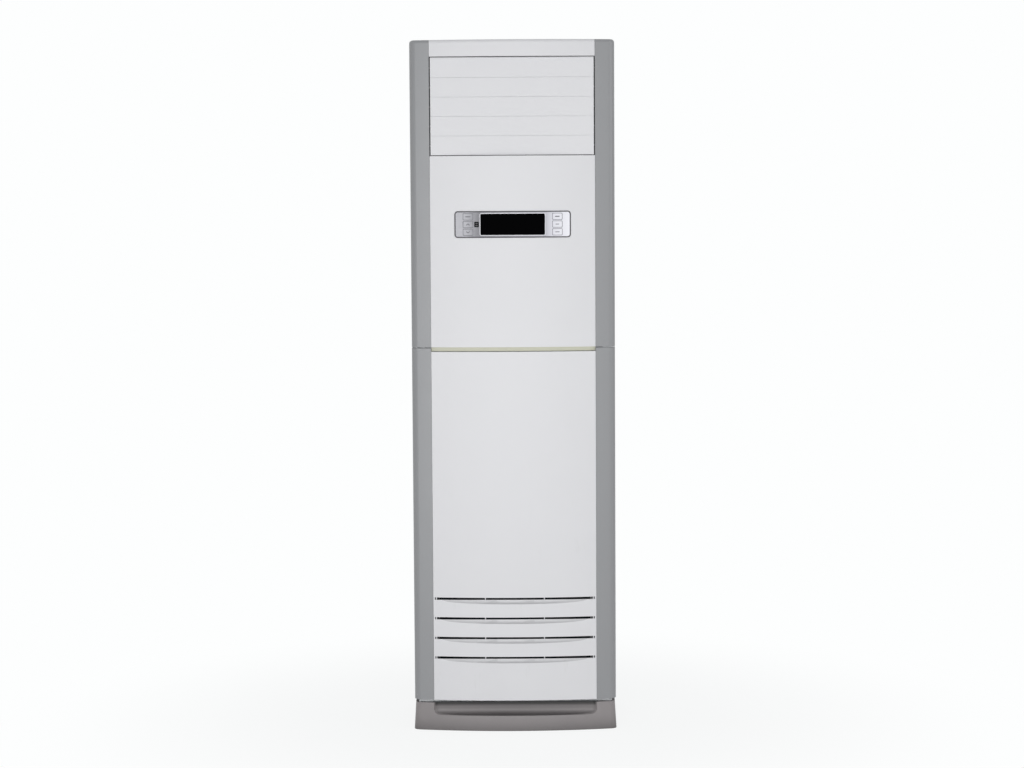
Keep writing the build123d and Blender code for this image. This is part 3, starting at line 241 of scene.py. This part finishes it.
def ranged(tree, value, low, high, to_low=0.0, to_high=1.0, **settings):
    """Carries a value from one range over to another."""
    return add(tree, "ShaderNodeMapRange",
               {"Value": value, "From Min": low, "From Max": high, "To Min": to_low,
                "To Max": to_high}, **settings).outputs["Result"]


def blend(tree, factor, first, second, kind="MIX"):
    """Mixes two colours."""
    return add(tree, "ShaderNodeMix", {"Factor": factor, "A": first, "B": second},
               data_type="RGBA", blend_type=kind).outputs["Result"]


def relief(tree, height, strength, depth_mm):
    """Normal of a surface whose pattern stands out by a depth."""
    return add(tree, "ShaderNodeBump", {"Height": height, "Strength": strength,
                                        "Distance": depth_mm * MM}).outputs["Normal"]


def reckon(tree, operation, *values):
    """One sum on single values."""
    return add(tree, "ShaderNodeMath", dict(enumerate(values)),
               operation=operation).outputs["Value"]


def axes(tree, vector):
    """X, Y and Z of a vector."""
    return add(tree, "ShaderNodeSeparateXYZ", {"Vector": vector}).outputs


def ramp(tree, value, steps):
    """Colour ramp, given as (place, colour)."""
    node = add(tree, "ShaderNodeValToRGB", {"Fac": value})
    stops = node.color_ramp.elements
    for stop, (place, shade) in zip(stops, (steps[0], steps[-1])):
        stop.position, stop.color = place, shade
    for place, shade in steps[1:-1]:
        stops.new(place).color = shade
    return node.outputs["Color"]


def grey_ramp(tree, value, steps):
    """Ramp of greys, given as (place, share of the light)."""
    return ramp(tree, value, [(place, (share,) * 3 + (1.0,)) for place, share in steps])


def lay_over(tree, amount, layer, kind="MIX"):
    """Lays a colour over the base colour, as far as the amount says."""
    under = tree.nodes["Principled BSDF"].inputs["Base Color"].links[0].from_socket
    surface(tree, {"Base Color": blend(tree, amount, under, layer, kind)})


def behind_bow(tree, place, radius_mm, face_mm, deepest=100.0):
    """How far a point lies behind an upright bowed face, in millimetres."""
    centre = add(tree, "ShaderNodeVectorMath",
                 {0: place, 1: (0.0, (radius_mm - face_mm) * MM, 0.0)}, operation="SUBTRACT")
    flat = add(tree, "ShaderNodeVectorMath",
               {0: centre.outputs["Vector"], 1: (1.0, 1.0, 0.0)}, operation="MULTIPLY")
    away = add(tree, "ShaderNodeVectorMath", {0: flat.outputs["Vector"]}, operation="LENGTH")
    return ranged(tree, away.outputs["Value"], radius_mm * MM, (radius_mm - deepest) * MM,
                  0.0, deepest)


def plain_view(tree):
    """1 for rays that should see the plain background: camera, glossy and transmission rays."""
    path = add(tree, "ShaderNodeLightPath").outputs
    straight = reckon(tree, "MAXIMUM", path["Is Camera Ray"], path["Is Transmission Ray"])
    return reckon(tree, "MAXIMUM", straight, path["Is Glossy Ray"])


# ---- materials ------------------------------------------------------------------------------
def moulded(name, base, rough=0.42, grain=0.9, depth=0.05, mottle=0.02, cloud=160.0):
    """Injection moulded plastic: spark-eroded grain, faint flow clouds, an even satin sheen.

    The real grain is about 0.2 mm across and would not show, so it is drawn coarser."""
    material, tree, place = start(name)
    clouds = noise(tree, place, cloud, detail=3.0)
    spark = noise(tree, place, grain, roughness=0.6)
    surface(tree, {
        "Base Color": ramp(tree, clouds, ((0.35, shaded(base, 1.0 - mottle)),
                                          (0.65, shaded(base, 1.0 + mottle)))),
        "Roughness": ranged(tree, clouds, 0.3, 0.7, rough - 0.04, rough + 0.05),
        "Normal": relief(tree, spark, 0.35, depth),
        "IOR": 1.52})
    return material


def handled_white(name, base):
    """White ABS that has stood in a room: the moulded look, with faint scuffs low down."""
    material = moulded(name, base, rough=0.40, mottle=0.008)
    tree, place = opened(material)
    streaks = add(tree, "ShaderNodeMapping", {"Vector": place, "Rotation": (0.0, 0.4, 0.0),
                                              "Scale": (1.0, 1.0, 0.22)})
    scuffs = noise(tree, streaks.outputs["Vector"], 26.0, detail=6.0, roughness=0.72)
    worn = ranged(tree, scuffs, 0.60, 0.74, 0.0, 0.10)
    low = ranged(tree, axes(tree, place)["Z"], MARKS_TOP * MM, MARKS_LOW * MM)
    lay_over(tree, reckon(tree, "MULTIPLY", worn, low), linear("A9A6A0") + (1.0,))
    return material


def shaded_scoops(material):
    """Painted shade along the lower edge of each intake scoop, drawn as a darker tint."""
    tree, place = opened(material)
    depth = behind_bow(tree, place, PANEL_BOW, PANEL_FACE)
    # Painted shade: darkest just behind the face, along the scoop's lower edge, and fading deeper
    # in.
    haze = grey_ramp(tree, reckon(tree, "DIVIDE", depth, 10.0),
                     ((0.02, 1.0), (0.05, 0.74), (0.25, 0.78), (0.62, 0.97)))
    under_top = ranged(tree, axes(tree, place)["Z"], (SCOOPS_TOP + 1.0) * MM, SCOOPS_TOP * MM)
    lay_over(tree, under_top, haze, "MULTIPLY")


def shaded_recess(material):
    """Painted shade in the finger recess, darkest under the cabinet and along the lower lip, and
    a tint that darkens the plinth towards the floor."""
    tree, place = opened(material)
    depth = behind_bow(tree, place, PLINTH_BOW, PLINTH_FACE)
    sunken = ranged(tree, depth, *RECESS_START)
    front = ranged(tree, depth, RECESS_END[1], RECESS_END[0])
    across, height = axes(tree, place)["X"], axes(tree, place)["Z"]
    middle = ranged(tree, reckon(tree, "ABSOLUTE", across),
                    (RECESS_HALF + 1.0) * MM, RECESS_HALF * MM)
    inside = reckon(tree, "MULTIPLY", reckon(tree, "MULTIPLY", sunken, front), middle)
    rise = ranged(tree, height, RECESS_LOW * MM, RECESS_HIGH * MM)
    # Painted shade of the recess: darkest at the top, under the cabinet, and along the lower lip.
    lay_over(tree, inside, grey_ramp(
        tree, rise, ((0.0, 0.30), (0.12, 0.42), (0.35, 0.78), (0.66, 0.66), (0.84, 0.10),
                     (1.0, 0.03))), "MULTIPLY")
    # The plinth is drawn darker towards the floor.
    near_floor = ranged(tree, height, PLINTH_DARKENS_FROM * MM, 0.0)
    lay_over(tree, near_floor, grey_ramp(tree, near_floor, ((0.0, 1.0), (1.0, 0.5))), "MULTIPLY")


def sprayed(name, base, metallic=0.25, rough=0.38):
    """Metallic lacquer sprayed on plastic: fine flakes, drawn at 1.2 mm so that they show."""
    material, tree, place = start(name)
    flake = add(tree, "ShaderNodeTexVoronoi", {"Vector": place, "Scale": per_metre(1.2)})
    mist = noise(tree, place, 70.0, detail=4.0)
    surface(tree, {
        "Base Color": blend(tree, flake.outputs["Distance"],
                            shaded(base, 1.03), shaded(base, 0.96)),
        "Roughness": ranged(tree, mist, 0.3, 0.7, rough - 0.03, rough + 0.04),
        "Normal": relief(tree, noise(tree, place, 2.5), 0.2, 0.04),
        "Metallic": metallic})
    return material


def brushed(name, base, rough=0.34, line=0.9, along=(0.012, 1.0, 1.0)):
    """Brushed metal: long grooves one way. Real grooves are 0.1 mm apart, drawn at 0.9 mm."""
    material, tree, place = start(name)
    stretch = add(tree, "ShaderNodeMapping", {"Vector": place, "Scale": along})
    grooves = noise(tree, stretch.outputs["Vector"], line, detail=4.0, roughness=0.7)
    surface(tree, {
        "Base Color": blend(tree, grooves, shaded(base, 0.90), shaded(base, 1.06)),
        "Roughness": ranged(tree, grooves, 0.3, 0.7, rough - 0.08, rough + 0.10),
        "Normal": relief(tree, grooves, 0.25, 0.03),
        "Metallic": 1.0})
    return material


def console_metal(name, base):
    """Brushed aluminium under clear lacquer, with tints across it that stand in for the
    room's reflections: dull left of the display, pale at the right end."""
    material = brushed(name, base, rough=0.36)
    tree, place = opened(material)
    run = ranged(tree, axes(tree, place)["X"], -CONSOLE_HALF * MM, CONSOLE_HALF * MM)
    tints = ((0.0, "ABABAE"), (0.10, "A5A5A8"), (0.20, "78787B"), (0.78, "AEAEB3"),
             (0.86, "DADADE"), (1.0, "F2F2F5"))
    lay_over(tree, 1.0, ramp(tree, run, [(at, linear(tint) + (1.0,)) for at, tint in tints]),
             "MULTIPLY")
    surface(tree, {"Metallic": 0.45})
    return material


def galvanised(name, base):
    """Hot dip zinc on sheet steel: spangles about 9 mm across, each its own grey."""
    material, tree, place = start(name)
    spangle = add(tree, "ShaderNodeTexVoronoi", {"Vector": place, "Scale": per_metre(9.0)})
    grey = axes(tree, spangle.outputs["Color"])
    surface(tree, {
        "Base Color": blend(tree, grey["X"], shaded(base, 0.82), shaded(base, 1.08)),
        "Roughness": ranged(tree, grey["Y"], 0.0, 1.0, 0.38, 0.55),
        "Metallic": 0.9})
    return material


def powder_coated(name, base):
    """Baked powder on steel: a fine orange peel, drawn at 2 mm."""
    material, tree, place = start(name)
    peel = noise(tree, place, 2.0)
    surface(tree, {
        "Base Color": blend(tree, noise(tree, place, 220.0),
                            shaded(base, 0.975), shaded(base, 1.015)),
        "Roughness": ranged(tree, peel, 0.0, 1.0, 0.36, 0.48),
        "Normal": relief(tree, peel, 0.4, 0.06)})
    return material


def acrylic(name, base):
    """Polished black acrylic with a trace of dust that dulls it.

    Its specular level is held down, because the display shows no reflection."""
    material, tree, place = start(name)
    haze = noise(tree, place, 6.0, detail=5.0, roughness=0.7)
    surface(tree, {
        "Base Color": blend(tree, haze, shaded(base, 0.9), shaded(base, 1.2)),
        "Roughness": ranged(tree, haze, 0.0, 1.0, 0.05, 0.12),
        "IOR": 1.49,
        "Specular IOR Level": 0.004})
    return material


def laminate(name, base):
    """Glass fibre board under green solder mask, with copper tracks showing through."""
    material, tree, place = start(name)
    tracks = add(tree, "ShaderNodeTexBrick",
                 {"Vector": place, "Scale": 1.0, "Color1": shaded(base, 1.0),
                  "Color2": shaded(base, 0.8), "Mortar": shaded(base, 1.9),
                  "Mortar Size": 0.6 * MM, "Brick Width": 17.0 * MM, "Row Height": 6.0 * MM})
    surface(tree, {
        "Base Color": tracks.outputs["Color"],
        "Roughness": ranged(tree, tracks.outputs["Fac"], 0.0, 1.0, 0.30, 0.42)})
    return material


def striped(name, base, pitch, metallic, depth=0.3, turn=0.0):
    """Thin fins side by side: fine lines at the fin pitch, upright unless turned."""
    material, tree, place = start(name)
    turned = add(tree, "ShaderNodeMapping", {"Vector": place, "Rotation": (0.0, turn, 0.0)})
    # The wave texture repeats about every 1 / pi of its scaled length.
    fins = add(tree, "ShaderNodeTexWave",
               {"Vector": turned.outputs["Vector"], "Scale": per_metre(pitch) / math.pi,
                "Distortion": 0.2, "Detail": 1.0}, bands_direction="X").outputs["Fac"]
    surface(tree, {
        # The darker half of each line is painted shade in the gaps between the fins, and between
        # the ribs of the hose.
        "Base Color": blend(tree, fins, shaded(base, 0.45), shaded(base, 1.05)),
        "Roughness": ranged(tree, fins, 0.0, 1.0, 0.55, 0.30),
        "Normal": relief(tree, fins, 0.8, depth),
        "Metallic": metallic})
    return material


def woven_net(name, base, pitch=4.0):
    """Polypropylene filter net: square mesh of 1 mm threads, drawn at 4 mm."""
    material, tree, place = start(name)
    upright = add(tree, "ShaderNodeMapping", {"Vector": place,
                                              "Rotation": (QUARTER_TURN, 0.0, 0.0)})
    # The openings are drawn darker than the threads, as painted shade behind the net.
    net = add(tree, "ShaderNodeTexBrick",
              {"Vector": upright.outputs["Vector"], "Scale": 1.0,
               "Color1": shaded(base, 0.35), "Color2": shaded(base, 0.45),
               "Mortar": shaded(base, 1.3), "Mortar Size": 0.8 * MM,
               "Brick Width": pitch * MM, "Row Height": pitch * MM}, offset=0.0)
    surface(tree, {
        "Base Color": net.outputs["Color"],
        "Roughness": 0.6,
        "Normal": relief(tree, net.outputs["Fac"], 0.6, 0.3)})
    return material


def tube_metal(name, base):
    """Drawn copper: warm, with darker patches of oxide from handling and brazing."""
    material, tree, place = start(name)
    patches = noise(tree, place, 24.0, detail=5.0, roughness=0.6)
    surface(tree, {
        "Base Color": blend(tree, patches, shaded(base, 0.62), shaded(base, 1.15)),
        "Roughness": ranged(tree, patches, 0.0, 1.0, 0.50, 0.22),
        "Metallic": 1.0})
    return material


def cured_rubber(name, base):
    """Moulded rubber: dull, faintly bloomed with a grey film."""
    material, tree, place = start(name)
    bloom = noise(tree, place, 5.0, detail=5.0)
    surface(tree, {
        "Base Color": blend(tree, bloom, shaded(base, 0.8), shaded(base, 1.5)),
        "Roughness": 0.72,
        "Normal": relief(tree, bloom, 0.3, 0.1)})
    return material


def pale_floor(name, backdrop):
    """Painted studio floor that fades into the background a metre or so out."""
    material, tree, place = start(name)
    tree.nodes.remove(tree.nodes["Principled BSDF"])
    paint = add(tree, "ShaderNodeBsdfDiffuse", {"Color": FLOOR_PAINT})
    glow = add(tree, "ShaderNodeEmission", {"Color": tuple(backdrop) + (1.0,), "Strength": 1.0})
    away = add(tree, "ShaderNodeVectorMath", {0: place}, operation="LENGTH").outputs["Value"]
    fade = ranged(tree, away, FADE_START, FADE_END, FADE_LEAST, 1.0,
                  interpolation_type="SMOOTHSTEP")
    mix = add(tree, "ShaderNodeMixShader",
              {0: reckon(tree, "MULTIPLY", fade, plain_view(tree)),
               1: paint.outputs["BSDF"], 2: glow.outputs["Emission"]})
    fill(tree, tree.nodes["Material Output"], {"Surface": mix.outputs["Shader"]})
    return material


def dress(material, *names):
    """Gives CAD nodes one material."""
    for name in names:
        slots = nodes[name].data.materials
        slots.clear()
        slots.append(material)


# ---- meshes ---------------------------------------------------------------------------------
def piece_from(bm, name, material, body):
    """Turns a finished bmesh into a flat shaded piece that rides on a body."""
    bmesh.ops.recalc_face_normals(bm, faces=bm.faces[:])
    mesh = bpy.data.meshes.new(name)
    bm.to_mesh(mesh)
    bm.free()
    mesh.materials.append(material)
    piece = bpy.data.objects.new(name, mesh)
    bpy.context.scene.collection.objects.link(piece)
    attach(piece, body)
    return piece


def upright_sheet(bm, x, z, width, height, turn=0.0, columns=1):
    """Adds a flat sheet that faces the front, turned about its middle."""
    place = (Matrix.Translation((x, 0.0, z)) @ Matrix.Rotation(turn, 4, "Y")
             @ Matrix.Diagonal((width, 1.0, height, 1.0))
             @ Matrix.Rotation(QUARTER_TURN, 4, "X"))
    return bmesh.ops.create_grid(bm, x_segments=columns, y_segments=1, size=0.5,
                                 matrix=place)["verts"]


def onto_bow(bm, console, thickness):
    """Gives flat sheets a thickness and lays them on the bowed face of the console."""
    back = bmesh.ops.extrude_face_region(bm, geom=bm.faces[:])
    moved = [g for g in back["geom"] if isinstance(g, bmesh.types.BMVert)]
    bmesh.ops.translate(bm, verts=moved, vec=(0.0, thickness, 0.0))
    radius = console.bow + console.proud
    for vert in bm.verts:
        bow = radius - math.sqrt(radius ** 2 - vert.co.x ** 2)
        vert.co.y += -console.face - console.proud - thickness + bow


def rounded_ring(bm, x, z, width, height, corner, band, steps=28):
    """Adds a flat ring with round corners, cut across so that it can be bent."""
    sheet = upright_sheet(bm, x, z, width, height)
    bmesh.ops.bevel(bm, geom=sheet, offset=corner, segments=6, profile=0.5,
                    affect="VERTICES", material=-1)
    inner = bm.faces[:]
    bmesh.ops.inset_region(bm, faces=inner, thickness=band, use_boundary=True,
                           use_even_offset=True)
    bmesh.ops.delete(bm, geom=inner, context="FACES")
    for n in range(1, steps):
        at = x - width / 2 + width * n / steps
        bmesh.ops.bisect_plane(bm, geom=bm.verts[:] + bm.edges[:] + bm.faces[:],
                               plane_co=(at, 0.0, 0.0), plane_no=(1.0, 0.0, 0.0))


def add_screw(bm, head_y, tip_y):
    """Adds one screw along Y: a domed head with a cross recess, and its shank."""
    upright = Matrix.Rotation(-QUARTER_TURN, 4, "X")
    shank_y = head_y - HEAD_HEIGHT * MM
    bmesh.ops.create_cone(bm, cap_ends=True, cap_tris=False, segments=32,
                          radius1=SCREW_RADIUS * MM, radius2=SCREW_RADIUS * MM,
                          depth=HEAD_HEIGHT * MM,
                          matrix=Matrix.Translation((0, head_y - HEAD_HEIGHT * MM / 2, 0))
                          @ upright)
    rim = [e for e in bm.edges if all(v.co.y > head_y - EDGE_REACH * MM for v in e.verts)]
    bmesh.ops.bevel(bm, geom=rim, offset=HEAD_DOME * MM, segments=5, profile=0.5,
                    affect="EDGES", material=-1)
    bmesh.ops.create_cone(bm, cap_ends=True, cap_tris=False, segments=20,
                          radius1=SHANK_RADIUS * MM, radius2=SHANK_RADIUS * MM,
                          depth=shank_y - tip_y,
                          matrix=Matrix.Translation((0, (tip_y + shank_y) / 2, 0)) @ upright)
    bar = Matrix.Diagonal((CROSS_LENGTH * MM, CROSS_DEPTH * MM, CROSS_WIDTH * MM, 1.0))
    for turn in (0.0, QUARTER_TURN):
        place = (Matrix.Rotation(turn, 4, "Y")
                 @ Matrix.Translation((0, head_y + CROSS_PROUD * MM, 0)) @ bar)
        for vert in bmesh.ops.create_cube(bm, size=1.0, matrix=place)["verts"]:
            vert.co.y -= CROSS_SINK * MM


# ---- operators --------------------------------------------------------------------------------
class CABINET_OT_outer_skin(bpy.types.Operator):
    """Finish the panels, the blades, the columns, the strip, the plinth and the casing"""
    bl_idname = "cabinet.outer_skin"
    bl_label = "Outer Skin"

    def execute(self, context):
        colours = context.scene.cabinet_colours
        white = handled_white("satin_white_abs", colours.white)
        shaded_scoops(white)
        blade_white = moulded("blade_white_abs", colours.white, rough=0.44, mottle=0.006)
        grey = sprayed("silver_grey_lacquer", colours.column)
        khaki = moulded("khaki_abs", colours.strip, rough=0.5, cloud=90.0)
        base = moulded("grey_plinth_abs", colours.plinth, rough=0.46, grain=1.4, depth=0.12,
                       mottle=0.03, cloud=70.0)
        shaded_recess(base)
        steel = powder_coated("powder_coated_steel", colours.casing)
        cover = moulded("top_cover_abs", colours.white, rough=0.44)
        dress(white, "header_panel", "upper_front_panel", "lower_front_panel")
        dress(blade_white, *[f"louvre_blade_{n}" for n in range(1, 6)])
        dress(grey, "column_upper_left", "column_upper_right",
              "column_lower_left", "column_lower_right")
        dress(khaki, "seam_strip")
        dress(base, "plinth")
        dress(steel, "side_panel_left", "side_panel_right", "rear_panel")
        dress(cover, "top_cover")
        return {"FINISHED"}


class CABINET_OT_inner_works(bpy.types.Operator):
    """Finish the duct, the coil, the fan, the electrics and the steel inside"""
    bl_idname = "cabinet.inner_works"
    bl_label = "Inner Works"

    def execute(self, context):
        zinc = galvanised("galvanised_steel", linear("B4B6B8"))
        dark = moulded("dark_duct_polystyrene", linear("2F3033"), rough=0.55, mottle=0.06)
        vane = moulded("dark_vane_abs", linear("3A3B3F"), rough=0.5, mottle=0.05)
        dress(zinc, "base_plate", "cross_rail", "bulkhead", "inlet_plate", "scroll_housing",
              "coil_end_plates", "electric_box", "box_cover")
        dress(dark, "outlet_duct", "louvre_link", "louvre_crank", "vane_link", "swing_crank")
        dress(vane, *[f"vane_{n}" for n in range(1, 7)])
        dress(striped("aluminium_fins", linear("CDD2D8"), 3.0, 0.9), "evaporator_fins")
        dress(tube_metal("drawn_copper", linear("C07B52")),
              "evaporator_tubes", "refrigerant_pipes")
        dress(moulded("drain_pan_polypropylene", linear("DADAD4"), rough=0.5), "drain_pan")
        dress(striped("ribbed_hose_pvc", linear("D2D1CB"), 4.0, 0.0, turn=QUARTER_TURN),
              "drain_hose")
        dress(moulded("fan_wheel_polypropylene", linear("5A5D62"), rough=0.5, mottle=0.05),
              "fan_wheel")
        dress(brushed("turned_steel_shaft", linear("A9ABAD"), along=(1.0, 0.02, 1.0)),
              "fan_shaft")
        dress(sprayed("motor_enamel", linear("75777A"), metallic=0.5), "fan_motor",
              "step_motors")
        # The net is dark grey, drawn darker still as painted shade seen through the intake slots.
        dress(woven_net("filter_net_with_painted_shade", linear("23272D")), "air_filter")
        dress(laminate("green_solder_mask", linear("1F5A38")), "main_board", "control_board")
        dress(moulded("black_terminal_phenolic", linear("26262A"), rough=0.38, mottle=0.08),
              "terminal_block")
        dress(cured_rubber("cord_gland_rubber", linear("1E1E1F")), "cord_gland")
        return {"FINISHED"}


class CABINET_OT_console(bpy.types.Operator):
    """Finish the console plate, its window and buttons, and add its rim and bezel"""
    bl_idname = "cabinet.console"
    bl_label = "Console"

    def execute(self, context):
        console = context.scene.cabinet_console
        plate = console_metal("brushed_console_aluminium", console.metal)
        key = console_metal("silver_button_lacquer", console.metal)
        glass = acrylic("black_display_acrylic", linear("020203"))
        # The rim is a thin dark sheet of painted shadow, where the gap round the plate lies in
        # shade.
        rim = sprayed("painted_shadow_rim", console.rim, metallic=0.2, rough=0.45)
        pale = sprayed("pale_bezel_lacquer", linear("CFCFD4"), metallic=0.2)
        shadow = sprayed("grey_surround_lacquer", console.ring, metallic=0.2, rough=0.5)
        dress(plate, "console_plate")
        dress(glass, "display_lens")
        dress(key, *[f"button_{n}" for n in range(1, 7)])

        border = bmesh.new()
        rounded_ring(border, 0.0, console.centre_z, console.width, console.height,
                     console.corner, console.border)
        onto_bow(border, console, RIM_PROUD * MM)
        piece_from(border, "console_shadow_rim", rim, "cabinet")

        bezel = bmesh.new()
        wide, high = (size * MM + 2 * console.bezel for size in WINDOW)
        rounded_ring(bezel, 0.0, console.centre_z, wide, high,
                     WINDOW_CORNER * MM + console.bezel, console.bezel)
        onto_bow(bezel, console, BEZEL_PROUD * MM)
        piece_from(bezel, "display_bezel", pale, "cabinet")

        wide, high = (size * MM + 2 * console.surround for size in BUTTON)
        for n, (side, row) in enumerate((side, row) for side in (-1, 1) for row in (1, 0, -1)):
            line = bmesh.new()
            rounded_ring(line, side * BUTTON_X * MM, console.centre_z + row * BUTTON_PITCH * MM,
                         wide, high, BUTTON_CORNER * MM, console.surround, steps=6)
            onto_bow(line, console, SURROUND_PROUD * MM)
            piece_from(line, f"surround_{n + 1}", shadow, "cabinet")

        eyes = bmesh.new()
        for row in (-1, 1):
            upright_sheet(eyes, RECEIVER_X * MM, console.centre_z + row * RECEIVER_RISE * MM,
                          RECEIVER[0] * MM, RECEIVER[1] * MM)
        onto_bow(eyes, console, RECEIVER_PROUD * MM)
        piece_from(eyes, "receiver_windows",
                   acrylic("smoked_receiver_acrylic", linear("5E5E60")),
                   "cabinet")
        return {"FINISHED"}


class CABINET_OT_button_marks(bpy.types.Operator):
    """Print a plain mark on each button: four bars and two chevrons"""
    bl_idname = "cabinet.button_marks"
    bl_label = "Button Marks"

    def execute(self, context):
        console = context.scene.cabinet_console
        ink = moulded("dark_button_ink", console.ink, rough=0.6, mottle=0.05)
        up = [(-ARM_OFFSET, ARM, -ARM_LEAN), (ARM_OFFSET, ARM, ARM_LEAN)]
        down = [(-ARM_OFFSET, ARM, ARM_LEAN), (ARM_OFFSET, ARM, -ARM_LEAN)]
        marks = [
            ("button_1", -1, 1, [(0.0, BAR_1, 0.0)]),
            ("button_2", -1, 0, up),
            ("button_3", -1, -1, down),
            ("button_4", 1, 1, [(0.0, BAR_4, 0.0)]),
            ("button_5", 1, 0, [(0.0, BAR_5, 0.0)]),
            ("button_6", 1, -1, [(0.0, BAR_6, 0.0)]),
        ]
        for button, side, row, bars in marks:
            bm = bmesh.new()
            for offset, (width, height), turn in bars:
                upright_sheet(bm, side * BUTTON_X * MM + offset * MM,
                              console.centre_z + row * BUTTON_PITCH * MM,
                              width * MM, height * MM, turn, columns=6)
            onto_bow(bm, console, console.mark)
            piece_from(bm, f"mark_{button}", ink, button)
        return {"FINISHED"}


class CABINET_OT_rear_screws(bpy.types.Operator):
    """Replace the plain screw heads at the back with domed heads that have a cross recess"""
    bl_idname = "cabinet.rear_screws"
    bl_label = "Rear Screws"

    def execute(self, context):
        low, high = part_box("cabinet_screws")
        plated = brushed("zinc_plated_screws", linear("B9B7AE"), along=(1.0, 1.0, 1.0))
        radius = SCREW_RADIUS * MM
        lowest, highest = low.z + radius, high.z - radius
        rows = SCREWS_A_SIDE - 1
        heights = [lowest + (highest - lowest) * n / rows for n in range(SCREWS_A_SIDE)]
        bm = bmesh.new()
        add_screw(bm, high.y, low.y)
        first = bm.verts[:] + bm.edges[:] + bm.faces[:]
        spots = [(x, z) for x in (low.x + radius, high.x - radius) for z in heights]
        copies = [bmesh.ops.duplicate(bm, geom=first)["geom"] for _ in spots[1:]]
        for (x, z), screw in zip(spots, [first, *copies]):
            bmesh.ops.translate(bm, vec=(x, 0, z),
                                verts=[g for g in screw if isinstance(g, bmesh.types.BMVert)])
        screws = piece_from(bm, "rear_screws", plated, "cabinet")
        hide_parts("cabinet_screws")
        return {"FINISHED"}


class CABINET_OT_studio(bpy.types.Operator):
    """Set up the pale floor, the soft light and the camera"""
    bl_idname = "cabinet.studio"
    bl_label = "Studio"

    def execute(self, context):
        scene = context.scene
        studio = scene.cabinet_studio
        scene.view_settings.view_transform = "Standard"

        world = bpy.data.worlds.new("studio_world")
        world.use_nodes = True
        tree = world.node_tree
        tree.nodes.clear()
        even = add(tree, "ShaderNodeBackground", {"Color": EVEN_LIGHT,
                                                  "Strength": studio.world})
        seen = add(tree, "ShaderNodeBackground",
                   {"Color": tuple(studio.backdrop) + (1.0,), "Strength": 1.0})
        mix = add(tree, "ShaderNodeMixShader", {0: plain_view(tree),
                                                1: even.outputs["Background"],
                                                2: seen.outputs["Background"]})
        add(tree, "ShaderNodeOutputWorld", {"Surface": mix.outputs["Shader"]})
        scene.world = world

        floor_bm = bmesh.new()
        bmesh.ops.create_grid(floor_bm, x_segments=1, y_segments=1, size=FLOOR_HALF)
        floor_mesh = bpy.data.meshes.new("studio_floor")
        floor_bm.to_mesh(floor_mesh)
        floor_bm.free()
        floor = bpy.data.objects.new("studio_floor", floor_mesh)
        scene.collection.objects.link(floor)
        floor_mesh.materials.append(pale_floor("pale_studio_floor", studio.backdrop))

        for name, where, power in (("front_light", FRONT_LAMP, studio.front),
                                   ("right_light", SIDE_LAMP, studio.side)):
            lamp = bpy.data.lights.new(name, "AREA")
            lamp.size = LAMP_SIZE
            lamp.energy = power
            holder = bpy.data.objects.new(name, lamp)
            holder.location = where
            aim = Vector(LAMP_AIM) - Vector(where)
            holder.rotation_euler = aim.to_track_quat("-Z", "Y").to_euler()
            scene.collection.objects.link(holder)

        ahead = Vector((math.sin(studio.yaw) * math.cos(studio.pitch),
                        math.cos(studio.yaw) * math.cos(studio.pitch), -math.sin(studio.pitch)))
        right = Vector((math.cos(studio.yaw), -math.sin(studio.yaw), 0.0))
        up = right.cross(ahead)
        side = right * math.cos(studio.roll) + up * math.sin(studio.roll)
        top = up * math.cos(studio.roll) - right * math.sin(studio.roll)
        camera_data = bpy.data.cameras.new("photo_camera")
        camera_data.lens = studio.lens
        camera_data.sensor_width = SENSOR_WIDTH
        camera = bpy.data.objects.new("photo_camera", camera_data)
        turn = Matrix((side, top, -ahead)).transposed().to_4x4()
        camera.matrix_world = Matrix.Translation(Vector(studio.place)) @ turn
        scene.collection.objects.link(camera)
        scene.camera = camera
        return {"FINISHED"}


STEPS = (CABINET_OT_outer_skin, CABINET_OT_inner_works, CABINET_OT_console,
         CABINET_OT_button_marks, CABINET_OT_rear_screws, CABINET_OT_studio)


class CABINET_PT_finish(bpy.types.Panel):
    """Sidebar panel of the cabinet"""
    bl_idname = "CABINET_PT_finish"
    bl_label = "Air Conditioner"
    bl_space_type = "VIEW_3D"
    bl_region_type = "UI"
    bl_category = "Air Conditioner"

    def draw(self, context):
        for group in ("cabinet_colours", "cabinet_console", "cabinet_studio"):
            settings = getattr(context.scene, group)
            box = self.layout.box()
            for key in settings.__annotations__:
                box.prop(settings, key)
        for step in STEPS:
            self.layout.operator(step.bl_idname)


CLASSES = (CabinetColours, ConsoleSizes, StudioSettings, *STEPS, CABINET_PT_finish)


def register():
    for cls in CLASSES:
        bpy.utils.register_class(cls)
    bpy.types.Scene.cabinet_colours = PointerProperty(type=CabinetColours)
    bpy.types.Scene.cabinet_console = PointerProperty(type=ConsoleSizes)
    bpy.types.Scene.cabinet_studio = PointerProperty(type=StudioSettings)


def unregister():
    for name in ("cabinet_studio", "cabinet_console", "cabinet_colours"):
        delattr(bpy.types.Scene, name)
    for cls in reversed(CLASSES):
        bpy.utils.unregister_class(cls)


def main():
    register()
    bpy.ops.cabinet.outer_skin()
    bpy.ops.cabinet.inner_works()
    bpy.ops.cabinet.console()
    bpy.ops.cabinet.button_marks()
    bpy.ops.cabinet.rear_screws()
    bpy.ops.cabinet.studio()
    bpy.context.view_layer.update()


if __name__ == "__main__":
    main()
